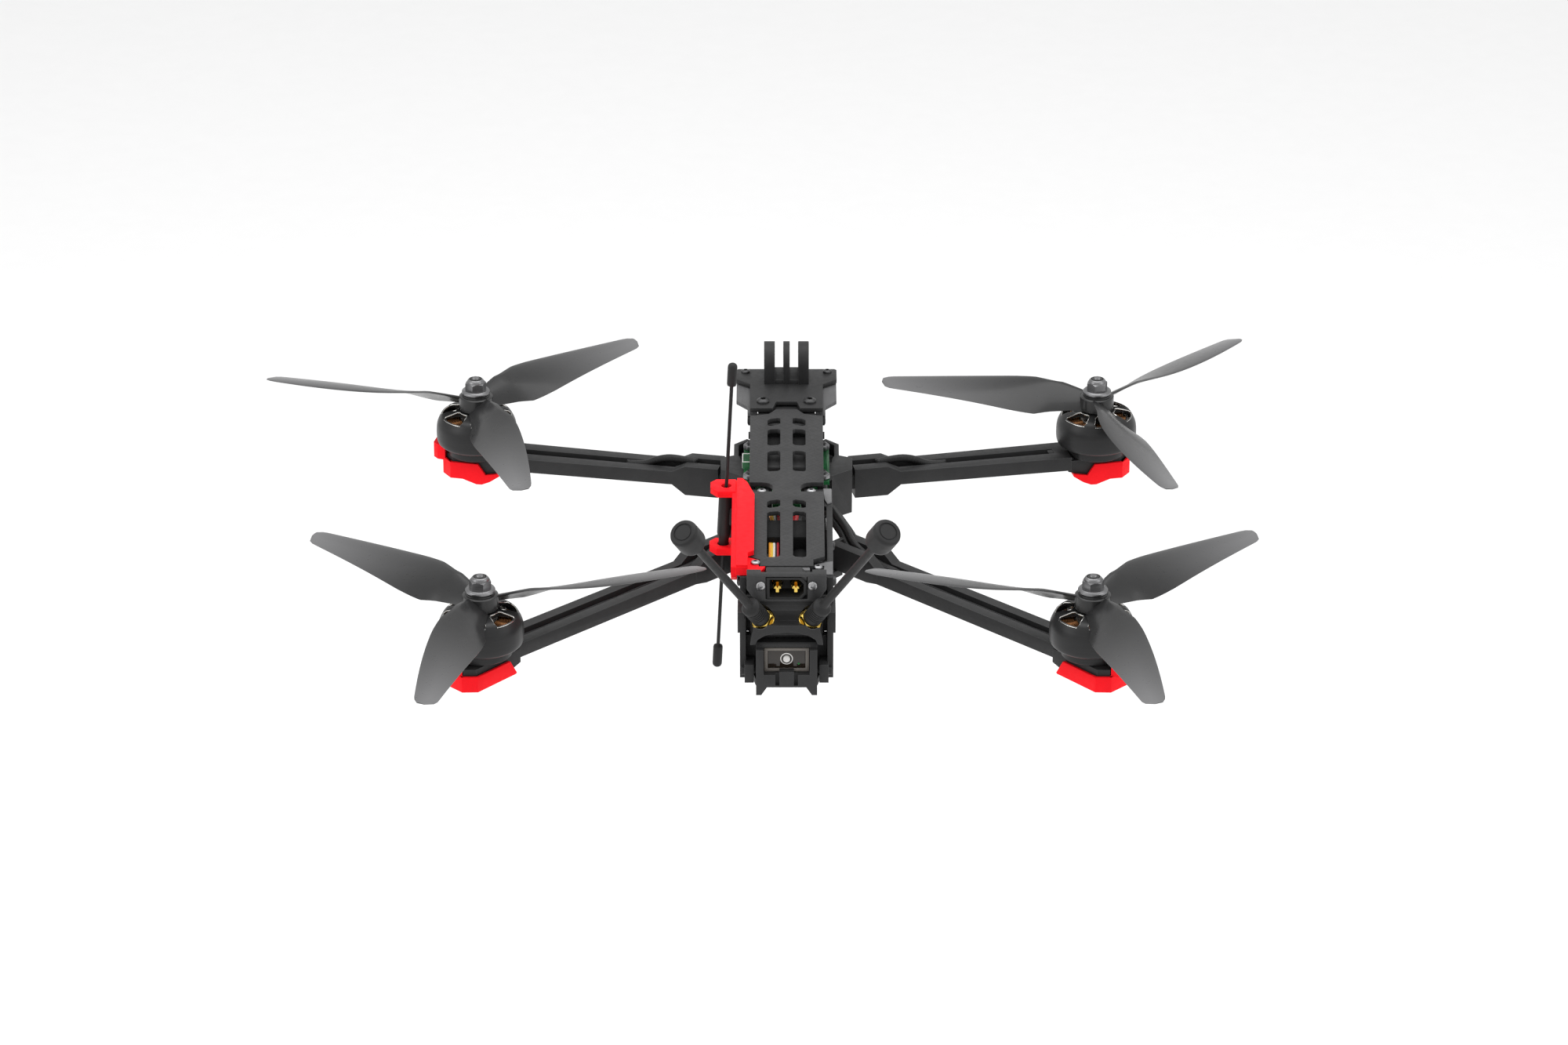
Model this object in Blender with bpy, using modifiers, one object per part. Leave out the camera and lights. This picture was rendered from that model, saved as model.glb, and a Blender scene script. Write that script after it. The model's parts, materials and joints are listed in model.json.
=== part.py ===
"""Long-range camera quadcopter with four three-blade rotors, as separate named pieces.

Frame: X to the right, Y towards the nose, Z up. The origin is the middle of the motor layout,
on the underside of the belly plate. Lengths below are millimetres; MM turns them into metres.
"""
import math

import bmesh
import bpy
from mathutils import Matrix, Vector

MM = 0.001
GAP = 0.3                      # clearance between neighbouring solids

# Rotor layout
FRONT_MOTOR = (134.3, 99.5)
REAR_MOTOR = (123.4, -99.7)
FRONT_ARM_ANGLE = 12.0         # degrees ahead of the X axis
REAR_ARM_ANGLE = -44.0
PROP_PLANE = 32.0
PROP_RADIUS = 95.25
PROP_HUB_RADIUS = 7.3
PROP_HUB_HALF = 3.2
BOSS_RADIUS = 6.0              # raised seat of the nut on the hub
BOSS_HEIGHT = 1.1
BLADE_START = 4.5              # inside the hub
BLADE_SECTIONS = 10
BLADE_CHORD = 20.8             # at the widest section
BLADE_WIDEST = 0.36            # share of the blade's length
BLADE_RISE = 15.0              # pitch of the blade, height gained per radian of turn
BELL_RADIUS = 17.35
SHAFT_RADIUS = 2.5
SHAFT_TOP = 43.5
BELL_WINDOWS = 6
BLADE_ANGLES = {               # direction of one blade at rest, degrees from +X
    "front_right": 46.2,
    "front_left": 44.7,
    "rear_right": 42.7,
    "rear_left": 18.8,
}

# Arms
ARM_TOP = 10.4
ARM_BOTTOM = 4.3
PAD_TOP = 8.4
PAD_BOTTOM = 1.2               # the arm deepens under its motor
TONGUE_TOP = 9.0
BODY_SIDE = 28.0               # where an arm leaves the body, distance from the centre plane

# Body
BELLY_TOP = 3.0
MID_LOW, MID_HIGH = 9.3, 11.3
TOP_LOW, TOP_HIGH = 45.0, 47.0
FOOT_LOW = -1.0
FOOT_TOP = 6.5
FOOT_WALL = 1.6                # from the motor pad to the outside of its foot
TAIL_Y = -119.0
PANEL_Y = -112.0               # face of the panel around the power socket
HOOD_HALF = 12.6               # half width of the arch under the tail's hood
STACK_Y = 53.0                 # centre of the electronics stack
STACK_HALF = 15.25             # half of the 30.5 mm hole spacing

# Power socket pins
PIN_X, PIN_Z = 3.7, 42.6
PIN_RADIUS = 1.75

# Video antennas
SMA_BASE = Vector((9.2, -112.0, 28.7))
ANTENNA_TIP = Vector((40.2, -156.0, 88.9))

# Receiver antenna, a flexible whip with a tip at each end
WHIP_TOP = Vector((-22.0, -25.0, 103.9))
WHIP_LOW = Vector((-29.1, -25.0, -34.2))
WHIP_RADIUS = 0.75

# Front camera, on its tilt axis
CAMERA_Y, CAMERA_Z = 90.0, 29.0
CAMERA_HALF = 9.5

# Link button, its axis along Y
BUTTON = Vector((0.0, -115.4, 13.2))
BUTTON_RADIUS = 1.45
BUTTON_LENGTH = 2.4

# Posts between the middle plate and the side panels' tabs, with their screws above
POSTS = {"mid": (10.2, -22.6, 2.6), "rear": (12.6, -96.4, 2.2)}    # x, y, radius
SCREW_HOLE = 1.5

COLOURS = {
    "moulding": ((0.045, 0.045, 0.047), 0.55, 0.0),
    "carbon": ((0.06, 0.06, 0.062), 0.45, 0.0),
    "propeller": ((0.03, 0.03, 0.032), 0.25, 0.0),
    "bell": ((0.05, 0.05, 0.052), 0.35, 0.6),
    "stator": ((0.28, 0.13, 0.06), 0.4, 0.8),
    "steel": ((0.45, 0.45, 0.46), 0.3, 1.0),
    "brass": ((0.75, 0.52, 0.14), 0.25, 1.0),
    "red_rubber": ((0.9, 0.02, 0.03), 0.5, 0.0),
    "board": ((0.02, 0.13, 0.05), 0.4, 0.0),
    "glass": ((0.02, 0.015, 0.01), 0.08, 0.0),
    "antenna": ((0.04, 0.04, 0.042), 0.5, 0.0),
}


# ---------------------------------------------------------------- modelling tools

def clear_scene():
    for obj in list(bpy.data.objects):
        bpy.data.objects.remove(obj, do_unlink=True)


def collection(name):
    group = bpy.data.collections.new(name)
    bpy.context.scene.collection.children.link(group)
    return group


def material(name):
    colour, roughness, metallic = COLOURS[name]
    made = bpy.data.materials.get(name) or bpy.data.materials.new(name)
    made.use_nodes = True
    shader = made.node_tree.nodes["Principled BSDF"]
    shader.inputs["Base Color"].default_value = (*colour, 1.0)
    shader.inputs["Roughness"].default_value = roughness
    shader.inputs["Metallic"].default_value = metallic
    return made


def piece(name, mesh, finish, place=None):
    """Makes one named sub-part from a mesh, at the place given by a matrix."""
    obj = bpy.data.objects.new(name, mesh)
    if place is not None:
        obj.matrix_world = place
    if not mesh.materials:
        mesh.materials.append(material(finish))
    bpy.data.collections["camera_quadcopter"].objects.link(obj)
    return obj


def guide(mesh_or_curve):
    """A working object that is used up while a shape is made."""
    obj = bpy.data.objects.new("guide", mesh_or_curve)
    obj.hide_render = True
    obj.display_type = "WIRE"
    bpy.data.collections["cutters"].objects.link(obj)
    return obj


def baked(obj):
    """The object with its modifiers, as one welded mesh; the object is removed."""
    bpy.context.view_layer.update()
    evaluated = obj.evaluated_get(bpy.context.evaluated_depsgraph_get())
    mesh = bpy.data.meshes.new_from_object(evaluated)
    mesh.transform(obj.matrix_world)
    bpy.data.objects.remove(obj, do_unlink=True)
    shape = bmesh.new()
    shape.from_mesh(mesh)
    bmesh.ops.remove_doubles(shape, verts=shape.verts, dist=2e-6)
    bmesh.ops.dissolve_degenerate(shape, edges=shape.edges, dist=1e-6)
    shape.to_mesh(mesh)
    shape.free()
    return mesh


def combined(operation, base, tools):
    body = guide(base)
    helpers = [guide(tool) for tool in tools]
    for helper in helpers:
        step = body.modifiers.new(operation, "BOOLEAN")
        step.operation = operation
        step.solver = "EXACT"
        step.object = helper
    mesh = baked(body)
    for helper in helpers:
        bpy.data.objects.remove(helper, do_unlink=True)
    return mesh


def joined(base, *tools):
    return combined("UNION", base, tools)


def cut(base, *tools):
    return combined("DIFFERENCE", base, tools)


def bevelled(mesh, width, segments=1):
    obj = guide(mesh)
    edge = obj.modifiers.new("edges", "BEVEL")
    edge.width = width * MM
    edge.segments = segments
    edge.limit_method = "ANGLE"
    edge.angle_limit = math.radians(40)
    edge.use_clamp_overlap = True
    return baked(obj)


def moved(mesh, place):
    copy = mesh.copy()
    copy.transform(place)
    return copy


def mirrored(mesh):
    """The same shape on the other side of the centre plane."""
    copy = moved(mesh, Matrix.Scale(-1.0, 4, (1, 0, 0)))
    copy.flip_normals()
    return copy


def smoothed(mesh, angle=32.0):
    mesh.shade_smooth()
    mesh.set_sharp_from_angle(angle=math.radians(angle))
    return mesh


def from_bmesh(shape):
    mesh = bpy.data.meshes.new("shape")
    shape.to_mesh(mesh)
    shape.free()
    return mesh


def box(x, y, z):
    """A box between pairs of coordinates."""
    size = [high - low for low, high in (x, y, z)]
    middle = [(low + high) / 2 for low, high in (x, y, z)]
    place = Matrix.Translation(Vector(middle) * MM) @ Matrix.Diagonal((*(s * MM for s in size), 1.0))
    shape = bmesh.new()
    bmesh.ops.create_cube(shape, size=1.0, matrix=place)
    return from_bmesh(shape)


def cylinder(radius, start, end, sides=20, end_radius=None):
    start, end = Vector(start), Vector(end)
    axis = end - start
    turn = axis.to_track_quat("Z", "Y").to_matrix().to_4x4()
    place = Matrix.Translation((start + end) / 2 * MM) @ turn
    shape = bmesh.new()
    bmesh.ops.create_cone(shape, cap_ends=True, segments=sides, radius1=radius * MM,
                          radius2=(radius if end_radius is None else end_radius) * MM,
                          depth=axis.length * MM, matrix=place)
    return from_bmesh(shape)


PLANES = {
    "XY": Matrix.Identity(4),
    "XZ": Matrix(((1, 0, 0, 0), (0, 0, -1, 0), (0, 1, 0, 0), (0, 0, 0, 1))),
    "YZ": Matrix(((0, 0, 1, 0), (1, 0, 0, 0), (0, 1, 0, 0), (0, 0, 0, 1))),
}


def slab(outline, low, high, plane="XY", holes=()):
    """A flat outline with holes, given thickness across its plane from low to high."""
    curve = bpy.data.curves.new("outline", "CURVE")
    curve.dimensions = "2D"
    curve.fill_mode = "BOTH"
    curve.extrude = (high - low) / 2 * MM
    for loop in (outline, *holes):
        spline = curve.splines.new("POLY")
        spline.points.add(len(loop) - 1)
        for point, (u, v) in zip(spline.points, loop):
            point.co = (u * MM, v * MM, 0.0, 1.0)
        spline.use_cyclic_u = True
    obj = guide(curve)
    offset = (low + high) / 2 * MM * (-1 if plane == "XZ" else 1)
    obj.matrix_world = PLANES[plane] @ Matrix.Translation((0, 0, offset))
    return baked(obj)


def turned(profile, sides=24):
    """A profile of (radius, height) turned about Z, listed from the top down its outer side."""
    mesh = bpy.data.meshes.new("profile")
    count = len(profile)
    closed = profile[0][0] > 0
    edges = [(i, (i + 1) % count) for i in range(count if closed else count - 1)]
    mesh.from_pydata([(r * MM, 0, z * MM) for r, z in profile], edges, [])
    obj = guide(mesh)
    screw = obj.modifiers.new("turn", "SCREW")
    screw.steps = sides
    screw.render_steps = sides
    screw.use_merge_vertices = True
    screw.merge_threshold = 1e-6
    return baked(obj)


def arc(centre, radius, start, end, steps):
    """Points on an arc between two angles in degrees."""
    turns = [math.radians(start + (end - start) * i / steps) for i in range(steps + 1)]
    return [(centre[0] + radius * math.cos(t), centre[1] + radius * math.sin(t)) for t in turns]


def both_sides(half):
    """A closed outline from its right half, listed from front to back."""
    return half + [(-x, y) for x, y in reversed(half)]


def both_edges(half):
    """A closed clockwise outline along +X, from its upper half listed towards +X."""
    return half + [(x, -y) for x, y in reversed(half)]


def grown(outline, distance):
    """A clockwise outline moved outwards by a distance, with sharp corners."""
    points = [Vector(point) for point in outline]
    result = []
    for before, point, after in zip(points[-1:] + points, points, points[1:] + points[:1]):
        first = (point - before).normalized().orthogonal()
        second = (after - point).normalized().orthogonal()
        result.append(tuple(point + (first + second) * distance / (1 + first.dot(second))))
    return result


def along(start, direction):
    """A place at a point, with Z turned to a direction."""
    turn = Vector(direction).to_track_quat("Z", "Y").to_matrix().to_4x4()
    return Matrix.Translation(Vector(start) * MM) @ turn


def corner_place(corner):
    """The frame of one rotor: origin on the motor axis, +X outwards along its arm."""
    front = corner.startswith("front")
    right = corner.endswith("right")
    x, y = FRONT_MOTOR if front else REAR_MOTOR
    angle = FRONT_ARM_ANGLE if front else REAR_ARM_ANGLE
    if not right:
        x, angle = -x, 180.0 - angle
    return Matrix.Translation((x * MM, y * MM, 0)) @ Matrix.Rotation(math.radians(angle), 4, "Z")


CORNERS = ("front_left", "front_right", "rear_left", "rear_right")


# ---------------------------------------------------------------- arms and feet

# Upper half of each motor pad's outline, from the arm outwards
PADS = {
    "front": [(-14.0, 7.6), (9.0, 7.6), (12.7, 3.6)],
    "rear": [(-14.0, 7.9), (-8.0, 8.2), (11.8, 10.0), (15.6, 6.6)],
}
RAMPS = {"front": (-18.0, -6.0), "rear": (-20.0, -10.0)}    # where the arm's underside slopes down
# Side view of each foot: x and height
FOOT_SIDES = {
    "front": [(-12.0, 1.5), (-7.7, -1.5), (-4.2, -3.0), (-1.8, -3.1), (4.4, FOOT_LOW), (20.0, FOOT_LOW),
              (20.0, FOOT_TOP), (-2.5, FOOT_TOP), (-5.8, 1.6), (-12.0, 2.7)],
    "rear": [(-10.5, -0.5), (-9.9, FOOT_LOW), (24.0, FOOT_LOW), (24.0, FOOT_TOP - 0.7),
             (-6.8, FOOT_TOP - 0.7)],
}
# Outer bumper of each foot: inner end, half width, reach, lowest and highest point
BUMPERS = {"front": (13.05, 5.2, 18.8, 5.4, 12.4), "rear": (15.95, 6.4, 18.6, 5.0, 13.0)}
CHANNEL_HALF = 2.4
CHANNEL_FLOOR = 7.2


def pad_mesh(end, growth=0.0):
    """The thick end of an arm under its motor, grown by a clearance for the foot around it."""
    start, deep = RAMPS[end]
    side = [(start, ARM_BOTTOM - growth), (deep, PAD_BOTTOM - growth), (30.0, PAD_BOTTOM - growth),
            (30.0, PAD_TOP + growth), (start, PAD_TOP + growth)]
    outline = slab(grown(both_edges(PADS[end]), growth), PAD_BOTTOM - 1.0, PAD_TOP + growth)
    return combined("INTERSECT", outline, [slab(side, -20.0, 20.0, plane="XZ")])


def arm_mesh(end, motor_x, angle, root_half, tip_half, sleeve, tongue_length):
    """An arm with its cable channel on top, its thick root, its bolted tongue and motor pad."""
    root = -(motor_x - BODY_SIDE) / math.cos(math.radians(angle))
    beam = slab([(root, root_half), (-13, tip_half), (-13, -tip_half), (root, -root_half)],
                ARM_BOTTOM, ARM_TOP)
    inner, flat, slope, low, high = sleeve
    profile = [(root + inner, low), (root + flat, low), (root + flat + slope, ARM_BOTTOM + 0.1),
               (root + flat + slope, ARM_TOP - 0.1), (root + flat, high), (root + inner, high)]
    thick = slab(profile, -root_half - 0.3, root_half + 0.3, plane="XZ")
    tongue_end = root - tongue_length
    tongue = slab([(root + 4, 5.5), (root + 4, -5.5), (tongue_end + 3, -5.5),
                   (tongue_end, -2.5), (tongue_end, 2.5), (tongue_end + 3, 5.5)],
                  BELLY_TOP + GAP, TONGUE_TOP)
    body = joined(beam, thick, pad_mesh(end), tongue)
    channel = box((root - 6, -19.0), (-CHANNEL_HALF, CHANNEL_HALF), (CHANNEL_FLOOR, high + 2))
    bolt = cylinder(1.6, (tongue_end + 6, 0, 0), (tongue_end + 6, 0, 12), 12)
    return smoothed(cut(body, channel, bolt))


def foot_mesh(end):
    """A rubber cup that wraps the motor pad, with a bumper at its outer end."""
    outline = slab(grown(both_edges(PADS[end]), FOOT_WALL), -4.0, FOOT_TOP)
    cup = combined("INTERSECT", outline, [slab(FOOT_SIDES[end], -20.0, 20.0, plane="XZ")])
    start, half, reach, low, high = BUMPERS[end]
    bumper = slab(both_edges([(start, half), (reach - 2.2, half - 0.6), (reach, half - 2.8)]), low, high)
    return joined(cut(cup, pad_mesh(end, GAP)), bumper)


def add_arms():
    front = arm_mesh("front", FRONT_MOTOR[0], FRONT_ARM_ANGLE, 7.0, 8.6, (0.0, 14.5, 6.0, -0.2, 13.2), 15.0)
    rear = arm_mesh("rear", REAR_MOTOR[0], REAR_ARM_ANGLE, 6.7, 7.5, (-8.0, 14.0, 6.0, 3.3, 14.4), 16.0)
    shapes = {"front": (front, foot_mesh("front")), "rear": (rear, foot_mesh("rear"))}
    for corner in CORNERS:
        place = corner_place(corner)
        arm, foot = shapes[corner.split("_")[0]]
        piece("arm_" + corner, arm, "moulding", place)
        piece("foot_" + corner, foot, "red_rubber", place)


# ---------------------------------------------------------------- motors and propellers

def bell_mesh():
    """The turning can with its shaft: a domed shell with six windows over the windings."""
    seat = PROP_PLANE - PROP_HUB_HALF - GAP
    shell = turned([
        (0.0, SHAFT_TOP), (SHAFT_RADIUS, SHAFT_TOP), (SHAFT_RADIUS, seat), (7.0, seat), (12.4, seat - 0.6),
        (15.6, 25.8), (BELL_RADIUS, 20.0), (17.2, 16.0), (16.2, 13.5),
        (15.2, 13.5), (15.9, 16.2), (15.9, 22.5), (13.0, 26.2), (5.0, 26.6),
        (2.2, 25.6), (2.2, 11.0), (0.0, 11.0)], 20)
    windows = []
    for index in range(BELL_WINDOWS):
        middle = 360.0 / BELL_WINDOWS * index
        sector = (arc((0, 0), 7.8, middle - 21, middle + 21, 2)
                  + arc((0, 0), 15.0, middle + 23, middle - 23, 3))
        windows.append(slab(sector, 24.0, 30.0))
    return smoothed(cut(shell, *windows))


def stator_mesh():
    """The fixed half of a motor: base flange, bearing tube and wound core."""
    core = turned([
        (4.6, 25.2), (4.6, 24.4), (13.9, 24.0), (13.9, 14.8), (7.0, 14.2), (7.0, 12.6), (12.5, 11.8),
        (12.5, PAD_TOP + GAP), (2.6, PAD_TOP + GAP), (2.6, 25.2)], 16)
    return smoothed(core)


def blade_chord(t):
    """The width of a blade at a share of its length: it widens quickly, then tapers to the tip."""
    if t < BLADE_WIDEST:
        return 8.2 + 12.6 * math.sin(math.pi * (t * 1.42 + 0.04))
    return BLADE_CHORD - 12.4 * ((t - BLADE_WIDEST) / (1.0 - BLADE_WIDEST)) ** 1.25


def blade_mesh():
    """One twisted blade along +X, lofted through airfoil sections, for turning anticlockwise."""
    shape = bmesh.new()
    rings = []
    for index in range(BLADE_SECTIONS):
        t = index / (BLADE_SECTIONS - 1)
        radius = BLADE_START + (PROP_RADIUS - BLADE_START) * t
        chord = blade_chord(t)
        pitch = math.atan2(BLADE_RISE, max(radius, 20.0))
        lead = 0.46 * chord + 1.6 * math.sin(math.pi * t)
        thick = 2.1 - 1.3 * t
        ring = []
        for along_chord, height in ((0.0, 0.0), (0.2, 0.5), (0.55, 0.42), (1.0, 0.06),
                                    (1.0, -0.06), (0.55, -0.12), (0.2, -0.42)):
            across = lead - along_chord * chord
            up = height * thick + 0.02 * chord * math.sin(math.pi * along_chord)
            y = across * math.cos(pitch) - up * math.sin(pitch)
            z = across * math.sin(pitch) + up * math.cos(pitch)
            ring.append(shape.verts.new(Vector((radius, y, z)) * MM))
        rings.append(ring)
    for inner, outer in zip(rings, rings[1:]):
        for k in range(len(inner)):
            following = (k + 1) % len(inner)
            shape.faces.new((inner[k], inner[following], outer[following], outer[k]))
    shape.faces.new(rings[0])
    shape.faces.new(list(reversed(rings[-1])))
    bmesh.ops.recalc_face_normals(shape, faces=shape.faces)
    return from_bmesh(shape)


def propeller_mesh():
    hub = cylinder(PROP_HUB_RADIUS, (0, 0, -PROP_HUB_HALF), (0, 0, PROP_HUB_HALF), 20)
    blade = blade_mesh()
    turns = [moved(blade, Matrix.Rotation(math.radians(a), 4, "Z")) for a in (0, 120, 240)]
    body = joined(hub, *turns)
    bore = cylinder(SHAFT_RADIUS + GAP, (0, 0, -12), (0, 0, 12), 14)
    above = cylinder(20.0, (0, 0, PROP_HUB_HALF), (0, 0, 12), 24)
    below = cylinder(20.0, (0, 0, -12), (0, 0, -PROP_HUB_HALF), 24)
    top, sunk, inner = PROP_HUB_HALF + BOSS_HEIGHT, PROP_HUB_HALF - 1.5, SHAFT_RADIUS + 2 * GAP
    boss = turned([(BOSS_RADIUS, top), (BOSS_RADIUS, sunk), (inner, sunk), (inner, top)], 20)
    return smoothed(joined(cut(body, bore, above, below), boss), 45)


def nut_mesh():
    """A flanged lock nut with a domed collar, around the shaft end."""
    low = PROP_PLANE + PROP_HUB_HALF + BOSS_HEIGHT + GAP
    flange = cylinder(6.1, (0, 0, low), (0, 0, low + 1.2), 18, end_radius=5.6)
    hexagon = cylinder(4.6, (0, 0, low + 0.6), (0, 0, low + 4.0), 6)
    collar = cylinder(3.8, (0, 0, low + 3.6), (0, 0, low + 5.4), 16, end_radius=3.3)
    bore = cylinder(SHAFT_RADIUS + GAP, (0, 0, low - 1), (0, 0, low + 9), 12)
    return smoothed(cut(joined(flange, hexagon, collar), bore))


def add_rotors():
    bell = bell_mesh()
    stator = stator_mesh()
    nut = nut_mesh()
    left_handed = propeller_mesh()
    right_handed = mirrored(left_handed)
    for corner in CORNERS:
        place = corner_place(corner)
        spin = bpy.data.objects.new("spin_axis_" + corner, None)
        spin.location = place.translation
        bpy.data.collections["camera_quadcopter"].objects.link(spin)
        piece("stator_" + corner, stator, "stator", place)
        bpy.context.view_layer.update()
        anticlockwise = corner in ("front_left", "rear_right")
        angle = BLADE_ANGLES[corner] + (0.0 if anticlockwise else 180.0)
        turn = Matrix.Rotation(math.radians(angle), 4, "Z")
        lift = Matrix.Translation((0, 0, PROP_PLANE * MM))
        parts = (("bell_", bell, "bell", turn), ("prop_nut_", nut, "steel", turn),
                 ("propeller_", left_handed if anticlockwise else right_handed, "propeller",
                  lift @ turn))
        for prefix, mesh, finish, local in parts:
            made = piece(prefix + corner, mesh, finish)
            made.parent = spin
            made.matrix_local = local


# ---------------------------------------------------------------- body plates

BELLY_HALF = [(11.0, 98.0), (16.0, 94.0), (22.3, 89.0), (22.3, 69.0), (16.2, 65.0), (16.2, 18.0),
              (23.5, 10.0), (23.5, -8.0), (16.2, -16.0), (15.0, -100.0), (12.5, -112.0)]
MID_HALF = [(11.0, 98.0), (16.0, 94.0), (22.3, 89.0), (22.3, 69.0), (16.2, 65.0), (16.2, 20.0),
            (13.5, 10.0), (13.5, -10.0), (15.2, -20.0), (15.2, -98.6), (9.6, -98.6), (9.6, -80.0)]


def slot(x, y, half_x, half_y, slant=0.0):
    """A rectangular window with cut corners, whose outer end lies lower by the slant."""
    c = min(half_x, half_y) * 0.4
    loop = [(-half_x, -half_y + c), (-half_x + c, -half_y), (half_x - c, -half_y), (half_x, -half_y + c),
            (half_x, half_y - c), (half_x - c, half_y), (-half_x + c, half_y), (-half_x, half_y - c)]
    side = 1 if x > 0 else -1
    return [(x + u, y + v - slant * side * u / half_x) for u, v in loop]


def pair(x, y, half_x, half_y, slant=0.0):
    return [slot(sign * x, y, half_x, half_y, slant) for sign in (1, -1)]


def add_plates():
    lightening = [slot(0, y, 7.0, 7.0) for y in (84, 40, 24, -30, -48, -66)]
    piece("belly_plate", slab(both_sides(BELLY_HALF), 0.0, BELLY_TOP, holes=lightening), "carbon")
    windows = [slot(0, y, 6.5, 6.0) for y in (84, 26, -34, -52, -69)]
    piece("mid_plate", slab(both_sides(MID_HALF), MID_LOW, MID_HIGH, holes=windows), "carbon")

    half = ([(4.5, 57.5), (7.6, 52.6), (15.4, 50.6)]
            + [(15.4, -17.5), (10.2, -17.5)]
            + arc((10.2, -22.0), 4.5, 90, 180, 4)[1:]
            + [(5.7, -26.6), (15.4, -26.6)]
            + [(15.4, -89.5), (10.8, -92.5), (10.8, -98.5)])
    holes = (pair(5.3, 44.4, 2.7, 3.6, 1.0) + pair(5.3, 28.4, 2.7, 8.3, 0.4)
             + pair(5.3, 4.0, 2.7, 10.2, 0.4) + pair(5.3, -38.6, 2.7, 3.6, 0.9)
             + pair(5.3, -68.2, 2.7, 21.9, 0.4))
    piece("top_plate", slab(both_sides(half), TOP_LOW, TOP_HIGH, holes=holes), "carbon")


# ---------------------------------------------------------------- nose

PRONGS = ((-9.6, -5.0), (-1.4, 1.4), (5.0, 9.6))
PRONG_Y, PRONG_RADIUS, PRONG_AXIS_Z = 90.5, 7.5, 56.2
DECK_LOW, DECK_HIGH = 45.3, 47.4


def add_nose_deck():
    """The front deck with ears and the three prongs that hold an action camera."""
    half = [(21.6, 99.8), (21.6, 88.6), (15.6, 83.4), (15.6, 58.0), (5.8, 58.0), (4.4, 65.0)]
    deck = slab(both_sides(half), DECK_LOW, DECK_HIGH)
    saddle = box((-9.2, 9.2), (PRONG_Y - 7.0, PRONG_Y + 7.0), (46.8, 49.4))
    prongs = []
    for low, high in PRONGS:
        outline = ([(PRONG_Y + PRONG_RADIUS, 46.4)]
                   + arc((PRONG_Y, PRONG_AXIS_Z), PRONG_RADIUS, 0, 180, 6)
                   + [(PRONG_Y - PRONG_RADIUS, 46.4)])
        prongs.append(slab(outline, low, high, plane="YZ"))
    bolt = cylinder(2.6, (-13, PRONG_Y, PRONG_AXIS_Z), (12, PRONG_Y, PRONG_AXIS_Z), 14)
    holes = [cylinder(SCREW_HOLE, (x, y, 44), (x, y, 49), 8)
             for x, y in ((10, 64), (-10, 64), (17.6, 96.8), (-17.6, 96.8))]
    piece("nose_deck", smoothed(cut(joined(deck, saddle, *prongs), bolt, *holes)), "moulding")


def add_nose():
    add_nose_deck()
    half = [(12.1, 70.5), (12.1, 58.2), (12.6, 58.2), (12.6, 46.5)]
    brace = slab(both_sides(half), 42.0, DECK_LOW - 2 * GAP, holes=[slot(0, 54.0, 3.0, 4.5)])
    holes = [cylinder(SCREW_HOLE, (x, 64, 40), (x, 64, 49), 8) for x in (-10, 10)]
    piece("nose_brace", cut(brace, *holes), "moulding")
    wing = [(11.0, 99.0), (21.4, 99.0), (21.4, 71.0), (16.6, 64.6), (16.6, 58.6), (12.4, 58.6),
            (12.4, 92.0), (11.0, 92.0)]
    piece("wing_plate", slab(both_sides(wing), 43.2, DECK_LOW - GAP), "carbon")

    profile = [(45.0, 31.0), (72.0, 31.0), (79.0, 24.0), (79.0, 11.6), (98.0, 11.6), (101.5, 18.0),
               (101.5, 24.0), (97.0, 42.9), (58.2, 42.9), (58.2, 44.7), (45.0, 44.7)]
    windows = [[(61, 39), (60, 34.5), (73, 34.5), (77, 39)], [(83, 22), (82, 15.5), (95, 15.5), (96, 22)]]
    plate = slab(profile, 12.9, 15.4, plane="YZ", holes=windows)
    pivot = cylinder(1.3, (10, CAMERA_Y, CAMERA_Z), (18, CAMERA_Y, CAMERA_Z), 12)
    knob = cylinder(1.8, (15.0, 60.0, 41.0), (16.6, 60.0, 41.0), 12)
    low_knob = cylinder(1.6, (15.0, 57.0, 35.0), (16.2, 57.0, 35.0), 10)
    right = joined(cut(plate, pivot), knob, low_knob)
    piece("nose_plate_right", right, "moulding")
    piece("nose_plate_left", mirrored(right), "moulding")

    add_camera()


def add_camera():
    """The front camera, hung on two pins; its parts are placed from the tilt axis."""
    tilt = bpy.data.objects.new("camera_tilt_axis", None)
    tilt.location = Vector((0.0, CAMERA_Y, CAMERA_Z)) * MM
    bpy.data.collections["camera_quadcopter"].objects.link(tilt)
    front = 7.0
    body = bevelled(box((-CAMERA_HALF, CAMERA_HALF), (-9.0, front), (-CAMERA_HALF, CAMERA_HALF)), 1.2)
    pins = cylinder(1.0, (-15.6, 0, 0), (15.6, 0, 0), 12)
    lens = turned([(0.0, 11.0), (4.6, 11.0), (5.2, 11.6), (7.4, 11.6), (8.0, 11.0), (8.0, 5.0),
                   (6.8, 4.4), (6.8, 0.0), (0.0, 0.0)], 16)
    lens.transform(along((0, front + GAP, 0), (0, 1, 0)))
    for made in (piece("camera_body", joined(body, pins), "moulding"),
                 piece("camera_lens", smoothed(lens), "glass")):
        made.parent = tilt


# ---------------------------------------------------------------- fairings and side panels

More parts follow.
